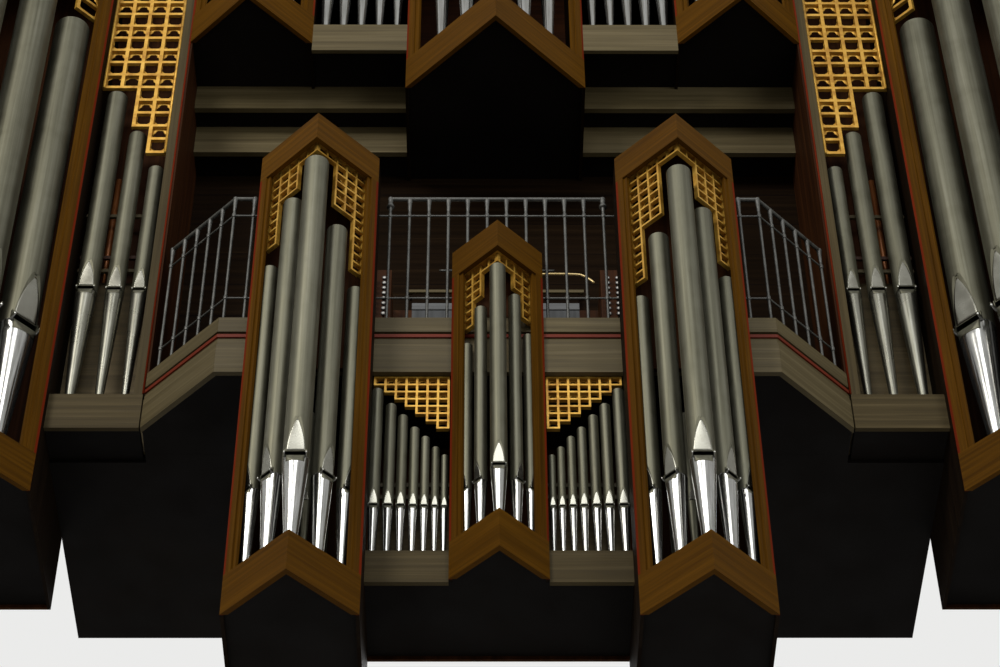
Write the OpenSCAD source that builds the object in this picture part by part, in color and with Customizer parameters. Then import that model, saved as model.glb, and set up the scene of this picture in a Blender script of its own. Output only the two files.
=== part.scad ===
// Church pipe organ on its gallery: a hanging front case with three pointed towers,
// a railing round the player's place, and a main case with side fields, two pedal
// towers and a raised upper case. Millimetres, +X to the right, +Y to the back, +Z up.
// Heights count from the underside of the gallery floor, which is the face it bears on.

/* [Gallery] */
// Half width of the straight gallery front
gallery_half_w = 1646; // [1500:1:1900]
// Sideways and backward run of each slanting gallery side
gallery_run = 464; // [400:1:600]
// Underside of the gallery to the walking floor
floor_h = 316; // [250:1:400]
// Height of the wide fascia board
fascia_h = 232; // [180:1:240]
// Thickness of the fascia boards
fascia_t = 32; // [20:1:40]
// Height of the painted floor edge that shows
floor_edge_h = 25; // [15:1:35]
// Shadow gap under the kerb
kerb_gap = 21; // [10:1:30]
// Height of the kerb that carries the railing
kerb_h = 120; // [80:1:150]
// Depth of the kerb
kerb_d = 90; // [60:1:110]
// Distance from the gallery front to the back wall of the organ
organ_depth = 2400; // [2200:1:2800]

/* [Railing] */
// Height of the railing above the kerb
rail_h = 1120; // [950:1:1200]
// Distance between balusters
baluster_pitch = 120; // [90:1:130]
// Diameter of a baluster
baluster_d = 18; // [14:1:24]
// Diameter of the top rail
top_rail_d = 26; // [20:1:34]
// Diameter of the two thin rails
thin_rail_d = 12; // [8:1:16]

/* [Front case] */
// Half width of each outer front tower
chair_hw = 360; // [320:1:380]
// Distance of the outer front towers from the middle
chair_x = 1083; // [1060:1:1200]
// How far the outer front towers stand before the gallery
chair_step = 263; // [200:1:320]
// Drop of the outer front towers below the gallery
chair_drop = 2048; // [1900:1:2200]
// Height of the outer front towers
chair_h = 3653; // [3500:1:3900]
// Half width of the middle front tower
mid_hw = 271; // [240:1:300]
// How far the middle front tower stands before the gallery
mid_step = 24; // [20:1:60]
// Drop of the middle front tower and the flats below the gallery
mid_drop = 1599; // [1500:1:1700]
// Height of the middle front tower
mid_h = 2598; // [2500:1:2800]
// Height of the lower boards of the front towers
chair_base_h = 268; // [220:1:300]
// Height of the upper boards of the front towers
chair_head_h = 227; // [180:1:260]
// Height of the boards under the flats
flat_base_h = 224; // [180:1:260]
// Depth of the front case below the gallery
chair_depth = 650; // [500:1:800]

/* [Main case] */
// Half width between the side fields
inner_half_w = 2120; // [2100:1:2300]
// Clear width of a side field
side_field_w = 560; // [500:1:620]
// Height of the board under a side field
side_base_h = 282; // [230:1:320]
// Height of the side fields above the gallery underside
side_top = 5045; // [4900:1:5400]
// Half width of a pedal tower
pedal_hw = 740; // [700:1:800]
// How far the pedal towers stand before the side fields
pedal_step = 70; // [40:1:120]
// Drop of the pedal towers below the gallery
pedal_drop = 571; // [450:1:700]
// Height of the pedal towers
pedal_h = 6300; // [6000:1:6600]
// Depth of a pedal tower behind its front corners
pedal_depth = 1050; // [900:1:1300]
// Height of the lower boards of the pedal towers
pedal_base_h = 293; // [250:1:330]
// Height of the upper boards of the pedal towers
pedal_head_h = 260; // [220:1:300]

/* [Upper case] */
// Half width of the middle upper tower
top_hw = 613; // [580:1:650]
// Underside of the middle upper tower
top_z = 3227; // [3150:1:3300]
// Height of the middle upper tower
top_h = 4250; // [4000:1:4500]
// Half width of an outer upper tower
outer_hw = 425; // [400:1:440]
// Underside of the outer upper towers
outer_z = 3723; // [3650:1:3800]
// Height of the outer upper towers
outer_h = 3180; // [3000:1:3400]
// Underside of the boards below the upper flats
top_flat_z = 3644; // [3580:1:3700]
// Height of the boards below the upper flats
top_flat_base_h = 292; // [240:1:330]
// Height of the upper flats
top_flat_h = 2650; // [2500:1:2800]
// Height of the lower boards of the upper towers
top_base_h = 310; // [260:1:340]
// Height of the upper boards of the upper towers
top_head_h = 262; // [220:1:300]
// Distance from the upper front to the wall over the keydesk
player_depth = 832; // [780:1:1000]

/* [Joinery] */
// Thickness of the tower boards
board_t = 30; // [22:1:36]
// Thickness of the painted side boards
wall_t = 20; // [16:1:26]
// Painted edge that shows beside a stile
red_edge = 12; // [8:1:16]
// Width of a stile's outer member
stile_w = 54; // [40:1:70]
// Width of a stile's inner member
bead_w = 34; // [24:1:44]
// Setback of a stile's inner member
bead_set = 12; // [6:1:18]
// Width of the front case's stiles as a share of the others
front_stile = 0.72; // [0.6:0.02:1]
// Thickness of the pipe floors
deck_t = 40; // [30:1:50]
// Height of the pipe floors above the underside of their boards
deck_lift = 24; // [12:1:40]

/* [Grilles] */
// Height of a cell in the outer front towers
cell = 74; // [60:1:80]
// Height of a cell in the middle front tower
mid_cell = 67; // [56:1:72]
// Height of a cell in the front flats
flat_cell = 58; // [50:1:64]
// Width of the grille bars
bar = 13; // [9:1:16]
// Depth of the grille bars
bar_d = 26; // [18:1:34]
// Height of a cell in the main case grilles
big_cell_h = 138; // [120:1:145]
// Width of the bars in the main case grilles
big_bar = 24; // [18:1:28]
// Distance from a tower's front to its grille
grille_set = 48; // [40:1:60]
// How far a tower grille runs up behind the upper board
grille_lap = 34; // [12:1:40]
// How far the middle front tower's grille runs up behind the upper board
mid_lap = 6; // [4:1:20]

/* [Pipes] */
// Thickness of the pipe metal
pipe_t = 3; // [2:0.5:4]
// Clearance between a pipe toe and the floor it stands on
toe_gap = 0.3; // [0.2:0.1:0.8]
// Clearance between neighbouring pipes and woodwork
pipe_gap = 6; // [3:1:10]

/* [Hidden] */

root2 = sqrt(2);
eps = 0.01;
// The origin lies on the bearing face, this far behind the gallery front
bearing_y = 1500;
bearing_front = chair_depth + 2 * wall_t;

kerb_z = floor_h + kerb_gap;
kerb_top = kerb_z + kerb_h;

chair_y = -chair_step;
chair_z = -chair_drop;
chair_top = chair_z + chair_h;
mid_z = -mid_drop;
mid_top = mid_z + mid_h;
chair_in_x = chair_x - chair_hw;
chair_out_x = chair_x + chair_hw;

side_y = gallery_run;
side_out_x = inner_half_w + side_field_w;
pedal_x = side_out_x + pedal_hw;
pedal_y = side_y - pedal_step;
pedal_z = -pedal_drop;

desk_y = side_y + player_depth;
outer_x = inner_half_w - outer_hw;
flat_out_x = outer_x - outer_hw;
beam1_y = side_y + 0.485 * player_depth;
beam2_y = side_y + 0.711 * player_depth;
beam_t = 40;
beam1_z = outer_z - 218;
beam2_z = beam1_z - 253;
soffit_t = 20;

rail_lower = 216;
rail_upper = rail_h - 157;
rail_y = 45;

// Pipes of one tower run from the point outwards. Their tops are the middle one, the two
// on the left and the two on the right. The back is measured square to the tower's face.
chair_deck = chair_z + deck_lift + deck_t;
chair_foot = 794;
chair_radii = [74, 61, 48];
chair_back = [86, 90, 84];
chair_spread = [134, 252];
left_tops = [1265, 1052, 586, 811, 406];
right_tops = [1182, 744, 328, 969, 495];
left_rows = [[1, 1, 4, 4, 9], [1, 1, 6, 6, 12]];
right_rows = [[1, 1, 7, 7, 13], [1, 1, 5, 5, 11]];
mid_deck = mid_z + deck_lift + deck_t;
mid_foot = 565;
mid_radii = [48, 37, 30];
mid_back = [60, 66.5, 61.3];
mid_spread = [99, 176];
mid_tops = [658, 412, 177, 515, 256];
mid_rows = [[1, 1, 4, 7], [1, 1, 3, 6]];
flat_x = [693, 613, 543, 474, 412, 353, 301];
flat_r = 34;
flat_r_step = 2.3;
flat_pipe_y = 64;
flat_tops = [-101, -222, -310, -406, -477, -557, -617];
flat_foot = 528;

side_post_w = 58;
side_head_h = 240;
side_room = 300;
side_deck = deck_lift + deck_t;
side_x = [2247, 2402, 2580];
side_r = [52, 59, 70];
side_foot = 1212;
side_tops = [2472, 2823, 3237];

pedal_deck = pedal_z + deck_lift + deck_t;
pedal_foot = 1226;
pedal_radii = [138, 125, 120];
pedal_back = pedal_radii + [36, 36, 36];
pedal_spread = [280, 495];
pedal_tops = [5050, 4420, 3740, 4420, 3740];
pedal_rows = [1, 1, 4, 7, 12];

flat_top = top_flat_z + top_flat_h;
flat_head_h = 220;
flat_deck = outer_z + deck_lift + deck_t;
outer_top = outer_z + outer_h;
top_top = top_z + top_h;
top_deck = top_z + deck_lift + deck_t;
top_foot = 1180;
top_radii = [94, 82, 64];
top_back = top_radii + [24, 30, 36];
top_spread = [197, 370];
top_tops = [7050, 6550, 6050, 6550, 6050];
top_rows = [1, 1, 3, 4, 8];
outer_foot = 960;
outer_radii = [68, 58, 46];
outer_back = outer_radii + [24, 30, 36];
outer_spread = [146, 262];
outer_tops = [6450, 6050, 5650, 6200, 5850];
outer_rows = [[1, 1, 3, 6], [1, 1, 2, 5]];
top_flat_foot = 780;

desk_hw = 830;
desk_d = 420;
desk_h = 1520;
jamb_w = 150;
manual_z = 760;
knob_z = 1070 / 1520 * desk_h;

wood = [0.55, 0.40, 0.13];
taupe = [0.55, 0.49, 0.42];
red = [0.50, 0.12, 0.06];
tin = [0.68, 0.69, 0.66];
gold = [0.83, 0.62, 0.22];
steel = [0.50, 0.51, 0.51];
dark = [0.10, 0.08, 0.07];
inner = [0.50, 0.26, 0.10];

// Everything is drawn from the gallery front and then set on the bearing face.
module place() {
  translate([0, -bearing_y, 0]) children();
}

module mirror_pair() {
  children();
  mirror([1, 0, 0]) children();
}

// A board bent round a pointed front, mitred at the point.
module prow_board(hw, h, t = board_t) {
  linear_extrude(h)
    polygon([[-hw, 0], [0, -hw], [hw, 0], [hw - t * root2, 0],
             [0, -hw + t * root2], [-hw + t * root2, 0]]);
}

// The floor or lid of a pointed tower, inside its boards.
module tower_deck(hw, depth, t) {
  tower_in = hw - wall_t;
  linear_extrude(t)
    polygon([[-tower_in, 0], [-hw + board_t * root2, 0], [0, -hw + board_t * root2],
             [hw - board_t * root2, 0], [tower_in, 0], [tower_in, depth], [-tower_in, depth]]);
}

// One corner stile: an outer member and a set back inner member.
module stile(hw, h, share) {
  a = hw - red_edge;
  s1 = red_edge + share * stile_w / root2;
  s2 = s1 + share * bead_w / root2;
  n = board_t / root2;
  b = bead_set / root2;
  linear_extrude(h)
    polygon([[a, -red_edge], [hw - s1, -s1], [hw - s1 - b, -s1 + b],
             [hw - s2 - b, -s2 + b], [hw - s2 - n, -s2 + n],
             [hw - board_t * root2, 0], [a - red_edge, 0]]);
}

// A painted side board whose front edge shows beside the stile.
module side_board(hw, h, base_h, head_h, depth) {
  nose = (wall_t - red_edge);
  translate([hw - wall_t, 0, 0]) cube([wall_t, depth, h]);
  translate([0, 0, base_h]) linear_extrude(h - base_h - head_h)
    polygon([[hw, eps], [hw, 0], [hw - red_edge, -red_edge],
             [hw - wall_t, -red_edge + nose], [hw - wall_t, eps]]);
}

// The front joinery of a pointed tower: lower board, upper board and two stiles.
module tower_front(hw, h, base_h, head_h, share = 1) {
  prow_board(hw, base_h);
  translate([0, 0, h - head_h]) prow_board(hw, head_h);
  translate([0, 0, base_h]) mirror_pair() stile(hw, h - base_h - head_h, share);
}

// A flue pipe standing on its toe, mouth to the front. h counts from the toe.
// The foot is solid, the body is a tube. The upper lip is a pointed leaf pressed flat
// into the wall, the lower lip a short flat below the slot, and an ear stands at each end.
module pipe(r, foot, h) {
  toe = max(6, 0.26 * r);
  seam = foot - 0.05 * r;
  mouth_x = 0.75 * r;
  flat_d = 0.69 * r;
  slot_h = 0.40 * r;
  slot_top = foot + slot_h;
  leaf_x = 0.66 * r;
  leaf_h = 3.1 * r;
  leaf_r = (leaf_h * leaf_h + leaf_x * leaf_x) / (2 * leaf_x);
  leaf_lean = atan((0.97 * r - flat_d) / leaf_h);
  lip_h = 0.7 * r;
  lip_lean = atan((r - (r - toe) * lip_h / seam - flat_d) / lip_h);
  ear_r = 0.35 * r;
  ear_t = max(1.5, 0.05 * r);
  difference() {
    union() {
      rotate_extrude($fn = 48) polygon([[0, 0], [toe, 0], [r, seam], [r, h], [0, h]]);
      for (side = [-1, 1])
        translate([side * (mouth_x + 0.02 * r + ear_t / 2) - ear_t / 2, -flat_d, foot + slot_h / 2])
          rotate([0, 90, 0]) cylinder(h = ear_t, r = ear_r, $fn = 32);
    }
    difference() {
      translate([0, 0, foot - 0.03 * r]) cylinder(h = h, r = r - pipe_t, $fn = 48);
      intersection() {
        translate([0, pipe_t - flat_d, slot_top]) rotate([leaf_lean, 0, 0])
          translate([-r, -r, -r]) cube([2 * r, r, leaf_h + r]);
        translate([-r, -1.5 * r, slot_top]) cube([2 * r, 1.5 * r, leaf_h * 1.1]);
      }
    }
    translate([-mouth_x, -1.5 * r, foot]) cube([2 * mouth_x, 1.5 * r - flat_d / 2, slot_h]);
    translate([0, -flat_d, foot]) rotate([-lip_lean, 0, 0])
      translate([-mouth_x, -r, -1.5 * lip_h]) cube([2 * mouth_x, r, 1.5 * lip_h]);
    intersection() {
      translate([0, -flat_d, slot_top]) rotate([leaf_lean, 0, 0])
        translate([-r, -r, -r]) cube([2 * r, r, 1.2 * leaf_h + r]);
      translate([-r, -1.5 * r, slot_top - slot_h / 2]) cube([2 * r, 1.5 * r, 1.1 * leaf_h]);
      for (side = [-1, 1])
        translate([side * (leaf_r - leaf_x), 0, slot_top])
          rotate([90, 0, 0]) cylinder(h = 2 * r, r = leaf_r, $fn = 240);
    }
  }
}

// Pipes of one tower: toes on the deck, axes set back from their own side of the point.
module tower_pipes(hw, deck, foot, radii, back, spread, tops) {
  x = [0, spread[0], spread[1]];
  y = [for (i = [0 : 2]) x[i] - hw + back[i] * root2];
  translate([0, y[0], deck + toe_gap]) pipe(radii[0], foot, tops[0] - deck);
  for (side = [-1, 1]) for (i = [1, 2])
    translate([side * x[i], y[i], deck + toe_gap]) rotate([0, 0, side * 45])
      pipe(radii[i], foot, (side < 0 ? tops[i] : tops[i + 2]) - deck);
}

// A stepped grille: rows[i] cells hang in column i, all from one top edge.
module grille(rows, cw, ch, b, d) {
  rotate([90, 0, 0]) linear_extrude(d) difference() {
    union() for (i = [0 : len(rows) - 1])
      translate([i * cw - b / 2, -rows[i] * ch - b / 2]) square([cw + b, rows[i] * ch + b]);
    for (i = [0 : len(rows) - 1]) for (j = [0 : rows[i] - 1])
      translate([i * cw + b / 2, -(j + 1) * ch + b / 2]) square([cw - b, ch - b]);
  }
}

// The two leaves of a tower grille and the batten that holds them behind the upper board.
// Each leaf starts a nip short of the point, so that they overlap in a clean corner.
module tower_grille(hw, head_z, lap, rows, ch, b) {
  hi = hw - grille_set * root2;
  batten_set = board_t + toe_gap;
  nip = 1;
  cw = (hi * root2 - b / 2 - 1.5 * pipe_gap) / len(rows[0]);
  translate([0, 0, head_z + lap]) {
    translate([0, 0, b / 4])
      prow_board(hw - batten_set * root2, b / 2, grille_set + bar_d / 2 - batten_set);
    translate([0, -hi, b / 2]) {
      rotate([0, 0, 45]) translate([b / 2 + nip, bar_d, 0]) grille(rows[1], cw, ch, b, bar_d);
      rotate([0, 0, -45]) translate([-b / 2 - nip, bar_d, 0]) mirror([1, 0, 0])
        grille(rows[0], cw, ch, b, bar_d);
    }
  }
}

// Gallery
// The floor bears behind the front case. Ahead of that its underside is a little higher.
module gallery_floor() {
  k = fascia_t * (root2 - 1);
  xi = gallery_half_w - k;
  xg = inner_half_w - wall_t;
  yg = fascia_t + xg - xi;
  ys = side_y + side_room;
  xs = side_out_x - toe_gap;
  color(red) difference() {
    linear_extrude(floor_h)
      polygon([[-xi, fascia_t], [xi, fascia_t], [xg, yg], [xg, ys], [xs, ys], [xs, organ_depth],
               [-xs, organ_depth], [-xs, ys], [-xg, ys], [-xg, yg]]);
    translate([-side_out_x, 0, toe_gap - 1]) cube([2 * side_out_x, bearing_front, 1]);
  }
}

// Section of the gallery front, drawn as depth behind the front and height.
module fascia_section() {
  square([fascia_t, fascia_h]);
  translate([10, fascia_h - eps]) square([fascia_t - 10, floor_h - fascia_h - floor_edge_h + 2 * eps]);
  translate([0, floor_h - floor_edge_h]) square([fascia_t, floor_edge_h]);
}

module kerb_section() {
  translate([18, floor_h]) square([kerb_d - 18, kerb_gap + eps]);
  translate([0, kerb_z]) square([kerb_d, kerb_h]);
}

// A length of the gallery front with a mitre of the given angle at each end.
module fascia_run(len, mitre_a, mitre_b) {
  intersection() {
    rotate([90, 0, 90]) translate([0, 0, -200]) linear_extrude(len + 400) union() {
      fascia_section();
      kerb_section();
    }
    linear_extrude(kerb_top) polygon([
      [0, -1], [len, -1], [len - tan(mitre_b) * 300, 300], [tan(mitre_a) * 300, 300]]);
  }
}

module gallery_front() {
  color(taupe) translate([-gallery_half_w, 0, 0]) fascia_run(2 * gallery_half_w, 22.5, 22.5);
}

module gallery_side() {
  color(taupe) translate([gallery_half_w, 0, 0]) rotate([0, 0, 45])
    fascia_run(gallery_run * root2, 22.5, -45);
}

// Railing
module baluster() {
  cylinder(h = 30, d = baluster_d * 1.5, $fn = 24);
  cylinder(h = rail_h, d = baluster_d, $fn = 24);
  for (z = [rail_lower, rail_upper])
    translate([0, 0, z - 16]) cylinder(h = 32, d = baluster_d * 1.35, $fn = 24);
}

module rail(x0, x1, z, d) {
  translate([x0, 0, z]) rotate([0, 90, 0]) cylinder(h = x1 - x0, d = d, $fn = 24);
}

module rail_ball(x) {
  translate([x, 0, rail_h]) sphere(d = top_rail_d * 1.3, $fn = 32);
}

module front_railing() {
  span = 5.5 * baluster_pitch;
  color(steel) translate([0, rail_y, kerb_top + toe_gap]) {
    for (i = [-5.5 : 5.5]) translate([i * baluster_pitch, 0, 0]) baluster();
    rail(-span, span, rail_h, top_rail_d);
    rail_ball(-span);
    rail_ball(span);
    for (z = [rail_lower, rail_upper]) rail(-gallery_half_w + 260, gallery_half_w - 260, z, thin_rail_d);
  }
}

module side_railings() {
  corner = gallery_half_w - 20;
  run = 5 * baluster_pitch;
  color(steel) mirror_pair() translate([corner, rail_y, kerb_top + toe_gap]) {
    rail(-baluster_pitch, 0, rail_h, top_rail_d);
    rail_ball(-baluster_pitch);
    rail_ball(0);
    translate([-baluster_pitch, 0, 0]) baluster();
    for (z = [rail_lower, rail_upper]) rail(-1.6 * baluster_pitch, 0, z, thin_rail_d);
    rotate([0, 0, 45]) {
      for (i = [0 : 5]) translate([i * baluster_pitch, 0, 0]) baluster();
      rail(0, run, rail_h, top_rail_d);
      rail_ball(run);
      for (z = [rail_lower, rail_upper]) rail(0, run + 12, z, thin_rail_d);
    }
  }
}

// Front case
module front_case_sides() {
  color(red) mirror_pair() {
    translate([chair_out_x - wall_t, 0, chair_z]) cube([wall_t, chair_depth, chair_drop]);
    translate([chair_in_x, 0, chair_z]) cube([wall_t, chair_depth, chair_drop - mid_drop]);
  }
}

module front_case_back() {
  color(inner) translate([0, chair_depth + wall_t, 0]) rotate([90, 0, 0]) linear_extrude(wall_t)
    polygon([[-chair_out_x, chair_z], [-chair_in_x, chair_z], [-chair_in_x, mid_z],
             [chair_in_x, mid_z], [chair_in_x, chair_z], [chair_out_x, chair_z],
             [chair_out_x, 0], [-chair_out_x, 0]]);
}

module front_case_decks() {
  color(dark) {
    mirror_pair() translate([chair_x, chair_y, chair_z + deck_lift])
      tower_deck(chair_hw, chair_step + chair_depth, deck_t);
    translate([0, 0, mid_z + deck_lift]) {
      translate([0, -mid_step, 0]) tower_deck(mid_hw, mid_step + 2 * board_t, deck_t);
      translate([-chair_in_x, board_t, 0]) cube([2 * chair_in_x, chair_depth - board_t, deck_t]);
    }
  }
}

module front_flat_boards() {
  flat_w = chair_in_x - mid_hw;
  color(taupe) mirror_pair() {
    translate([mid_hw, 0, mid_z]) cube([flat_w, board_t, flat_base_h]);
    translate([mid_hw, 150, mid_deck]) cube([flat_w, 15, 620]);
  }
}

module front_outer_towers() {
  color(wood) mirror_pair() translate([chair_x, chair_y, chair_z])
    tower_front(chair_hw, chair_h, chair_base_h, chair_head_h, front_stile);
}

module front_middle_tower() {
  color(wood) translate([0, -mid_step, mid_z])
    tower_front(mid_hw, mid_h, chair_base_h, chair_head_h, front_stile);
}

module front_tower_sides() {
  color(red) {
    mirror_pair() translate([chair_x, chair_y, chair_z]) mirror_pair()
      side_board(chair_hw, chair_h, chair_base_h, chair_head_h, chair_step);
    translate([0, -mid_step, mid_z]) mirror_pair()
      side_board(mid_hw, mid_h, chair_base_h, chair_head_h, mid_step);
  }
}

// The closed backs and lids of the towers where they rise above the gallery.
module front_tower_backs() {
  tower_in = chair_hw - wall_t;
  mid_in = mid_hw - wall_t;
  thin_back = 5;
  color(wood) {
    mirror_pair() translate([chair_x, chair_y, 0]) {
      translate([-tower_in, chair_step - board_t, 0]) cube([2 * tower_in, board_t, chair_top]);
      translate([0, 0, chair_top - board_t]) tower_deck(chair_hw, chair_step, board_t);
    }
    translate([0, -mid_step, 0]) {
      translate([-mid_in, mid_step - thin_back, kerb_top])
        cube([2 * mid_in, thin_back, mid_top - kerb_top]);
      translate([0, 0, mid_top - board_t]) tower_deck(mid_hw, mid_step, board_t);
    }
  }
}

// The left tower takes the longer pipes, and each tower falls away faster towards the middle.
module front_outer_pipes() {
  color(tin) {
    translate([-chair_x, chair_y, 0])
      tower_pipes(chair_hw, chair_deck, chair_foot, chair_radii, chair_back, chair_spread, left_tops);
    translate([chair_x, chair_y, 0])
      tower_pipes(chair_hw, chair_deck, chair_foot, chair_radii, chair_back, chair_spread, right_tops);
  }
}

module front_middle_pipes() {
  color(tin) translate([0, -mid_step, 0])
    tower_pipes(mid_hw, mid_deck, mid_foot, mid_radii, mid_back, mid_spread, mid_tops);
}

module front_flat_pipes() {
  color(tin) mirror_pair() for (i = [0 : len(flat_x) - 1])
    translate([flat_x[i], flat_pipe_y, mid_deck + toe_gap])
      pipe(flat_r - flat_r_step * i, flat_foot, flat_tops[i] - mid_deck);
}

module front_outer_grilles() {
  head_z = chair_top - chair_head_h;
  color(gold) {
    translate([-chair_x, chair_y, 0]) tower_grille(chair_hw, head_z, grille_lap, left_rows, cell, bar);
    translate([chair_x, chair_y, 0]) tower_grille(chair_hw, head_z, grille_lap, right_rows, cell, bar);
  }
}

module front_middle_grille() {
  color(gold) translate([0, -mid_step, 0])
    tower_grille(mid_hw, mid_top - chair_head_h, mid_lap, mid_rows, mid_cell, bar);
}

module front_flat_grilles() {
  flat_w = chair_in_x - mid_hw;
  color(gold) mirror_pair() translate([mid_hw + bar, flat_pipe_y, -bar / 2 - toe_gap])
    grille([7, 6, 5, 4, 3, 2, 1], (flat_w - 2 * bar) / 7, flat_cell, bar, bar_d);
}

// Side fields
module side_fields() {
  color(taupe) mirror_pair() {
    translate([inner_half_w, side_y, 0]) cube([side_field_w - toe_gap, board_t, side_base_h]);
    translate([inner_half_w, side_y, side_top - side_head_h])
      cube([side_field_w - toe_gap, board_t, side_head_h]);
    translate([inner_half_w, side_y, side_base_h - eps])
      cube([side_post_w, 50, side_top - side_base_h - side_head_h + 2 * eps]);
  }
}

// Backs and lids of the side fields and backs of the pedal towers.
module side_backs() {
  color(inner) mirror_pair() {
    translate([inner_half_w, side_y + side_room, floor_h])
      cube([side_field_w - toe_gap, wall_t, side_top - floor_h]);
    translate([inner_half_w, side_y + board_t, side_top - wall_t])
      cube([side_field_w - toe_gap, side_room - board_t + eps, wall_t]);
    translate([pedal_x - pedal_hw + wall_t, pedal_y + pedal_depth - wall_t, pedal_z])
      cube([2 * (pedal_hw - wall_t), wall_t, pedal_h]);
  }
}

// Pipe floors of the side fields and pedal towers, with the lids of the towers.
module side_decks() {
  color(dark) mirror_pair() {
    translate([inner_half_w, side_y + board_t, deck_lift])
      cube([side_field_w - toe_gap, side_room - board_t, deck_t]);
    translate([pedal_x, pedal_y, pedal_z]) {
      translate([0, 0, deck_lift]) tower_deck(pedal_hw, pedal_depth - wall_t, deck_t);
      translate([0, 0, pedal_h - board_t]) tower_deck(pedal_hw, pedal_depth - wall_t, board_t);
    }
  }
}

module side_pipes() {
  color(tin) mirror_pair() for (i = [0 : 2])
    translate([side_x[i], side_y + 110, side_deck + toe_gap])
      pipe(side_r[i], side_foot, side_tops[i] - side_deck);
}

module side_field_grilles() {
  left = side_post_w + toe_gap + big_bar / 2;
  cw = (side_field_w - side_post_w - 3 * toe_gap - big_bar) / 4;
  color(gold) mirror_pair()
    translate([inner_half_w + left, side_y + 60, side_top - side_head_h - big_bar / 2 - toe_gap])
      grille([16, 14, 11, 11], cw, big_cell_h, big_bar, bar_d);
}

// Pedal towers
module pedal_towers() {
  color(wood) mirror_pair() translate([pedal_x, pedal_y, pedal_z])
    tower_front(pedal_hw, pedal_h, pedal_base_h, pedal_head_h);
}

module pedal_side_boards() {
  color(red) mirror_pair() translate([pedal_x, pedal_y, pedal_z]) mirror_pair()
    side_board(pedal_hw, pedal_h, pedal_base_h, pedal_head_h, pedal_depth);
}

module pedal_pipes() {
  color(tin) mirror_pair() translate([pedal_x, pedal_y, 0])
    tower_pipes(pedal_hw, pedal_deck, pedal_foot, pedal_radii, pedal_back, pedal_spread, pedal_tops);
}

module pedal_grilles() {
  color(gold) mirror_pair() translate([pedal_x, pedal_y, 0])
    tower_grille(pedal_hw, pedal_z + pedal_h - pedal_head_h, grille_lap, [pedal_rows, pedal_rows],
      big_cell_h, big_bar);
}

// Main case
module player_wall() {
  color(inner) translate([-inner_half_w + wall_t, desk_y, floor_h])
    cube([2 * (inner_half_w - wall_t), wall_t, outer_z + deck_lift - floor_h]);
}

// The side walls leave room for the end of the slanting kerb.
module main_side_walls() {
  kerb_end = side_y + kerb_d * root2 + 2 * toe_gap;
  wall_end = organ_depth - wall_t;
  color(red) mirror_pair() translate([inner_half_w - wall_t, 0, 0])
    rotate([90, 0, 90]) linear_extrude(wall_t)
      polygon([[side_y, kerb_top + toe_gap], [kerb_end, kerb_top + toe_gap], [kerb_end, floor_h],
               [wall_end, floor_h], [wall_end, outer_z], [side_y, outer_z]]);
}

module back_wall() {
  color(inner) translate([0, organ_depth, 0]) rotate([90, 0, 0]) linear_extrude(wall_t)
    polygon([[-side_out_x + toe_gap, floor_h], [side_out_x - toe_gap, floor_h],
             [side_out_x - toe_gap, side_top], [inner_half_w, side_top], [inner_half_w, outer_top],
             [flat_out_x, outer_top], [flat_out_x, flat_top], [top_hw, flat_top], [top_hw, top_top],
             [-top_hw, top_top], [-top_hw, flat_top], [-flat_out_x, flat_top], [-flat_out_x, outer_top],
             [-inner_half_w, outer_top], [-inner_half_w, side_top], [-side_out_x + toe_gap, side_top]]);
}

// Pipe floors of the upper case, and the two stepped ceilings behind the beams.
module upper_decks() {
  room = organ_depth - side_y - wall_t;
  beam_w = inner_half_w - wall_t - top_hw;
  color(dark) translate([0, side_y, 0]) {
    translate([0, 0, top_z + deck_lift]) tower_deck(top_hw, player_depth, deck_t);
    mirror_pair() {
      translate([outer_x, 0, outer_z + deck_lift]) tower_deck(outer_hw, room, deck_t);
      translate([top_hw, board_t, outer_z + deck_lift]) cube([flat_out_x - top_hw, room - board_t, deck_t]);
    }
  }
  color(dark) mirror_pair() {
    translate([top_hw, beam1_y + beam_t, beam1_z + deck_lift])
      cube([beam_w, beam2_y - beam1_y - beam_t, soffit_t]);
    translate([top_hw, beam2_y + beam_t, beam2_z + deck_lift])
      cube([beam_w, desk_y - beam2_y - beam_t, soffit_t]);
  }
}

module upper_roofs() {
  room = organ_depth - side_y - wall_t;
  color(inner) translate([0, side_y, 0]) {
    translate([0, 0, top_top - board_t]) tower_deck(top_hw, room, board_t);
    mirror_pair() {
      translate([outer_x, 0, outer_top - board_t]) tower_deck(outer_hw, room, board_t);
      translate([top_hw, board_t, flat_top - board_t]) cube([flat_out_x - top_hw, room - board_t, board_t]);
    }
  }
}

module soffit_beams() {
  beam_w = inner_half_w - wall_t - top_hw;
  color(taupe) mirror_pair() {
    translate([top_hw, beam1_y, beam1_z]) cube([beam_w, beam_t, outer_z + deck_lift - beam1_z]);
    translate([top_hw, beam2_y, beam2_z]) cube([beam_w, beam_t, beam1_z + soffit_t + deck_lift - beam2_z]);
  }
}

module upper_middle_tower() {
  color(wood) translate([0, side_y, top_z]) tower_front(top_hw, top_h, top_base_h, top_head_h);
}

module upper_outer_towers() {
  color(wood) mirror_pair() translate([outer_x, side_y, outer_z])
    tower_front(outer_hw, outer_h, top_base_h, top_head_h);
}

module upper_side_boards() {
  room = organ_depth - side_y - wall_t;
  color(red) translate([0, side_y, 0]) {
    translate([0, 0, top_z]) mirror_pair()
      side_board(top_hw, top_h, top_base_h, top_head_h, player_depth);
    mirror_pair() translate([outer_x, 0, outer_z]) mirror_pair()
      side_board(outer_hw, outer_h, top_base_h, top_head_h, room);
    mirror_pair() translate([top_hw - wall_t, player_depth - eps, flat_deck - deck_t])
      cube([wall_t, room - player_depth + eps, top_top - flat_deck + deck_t]);
  }
}

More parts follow.
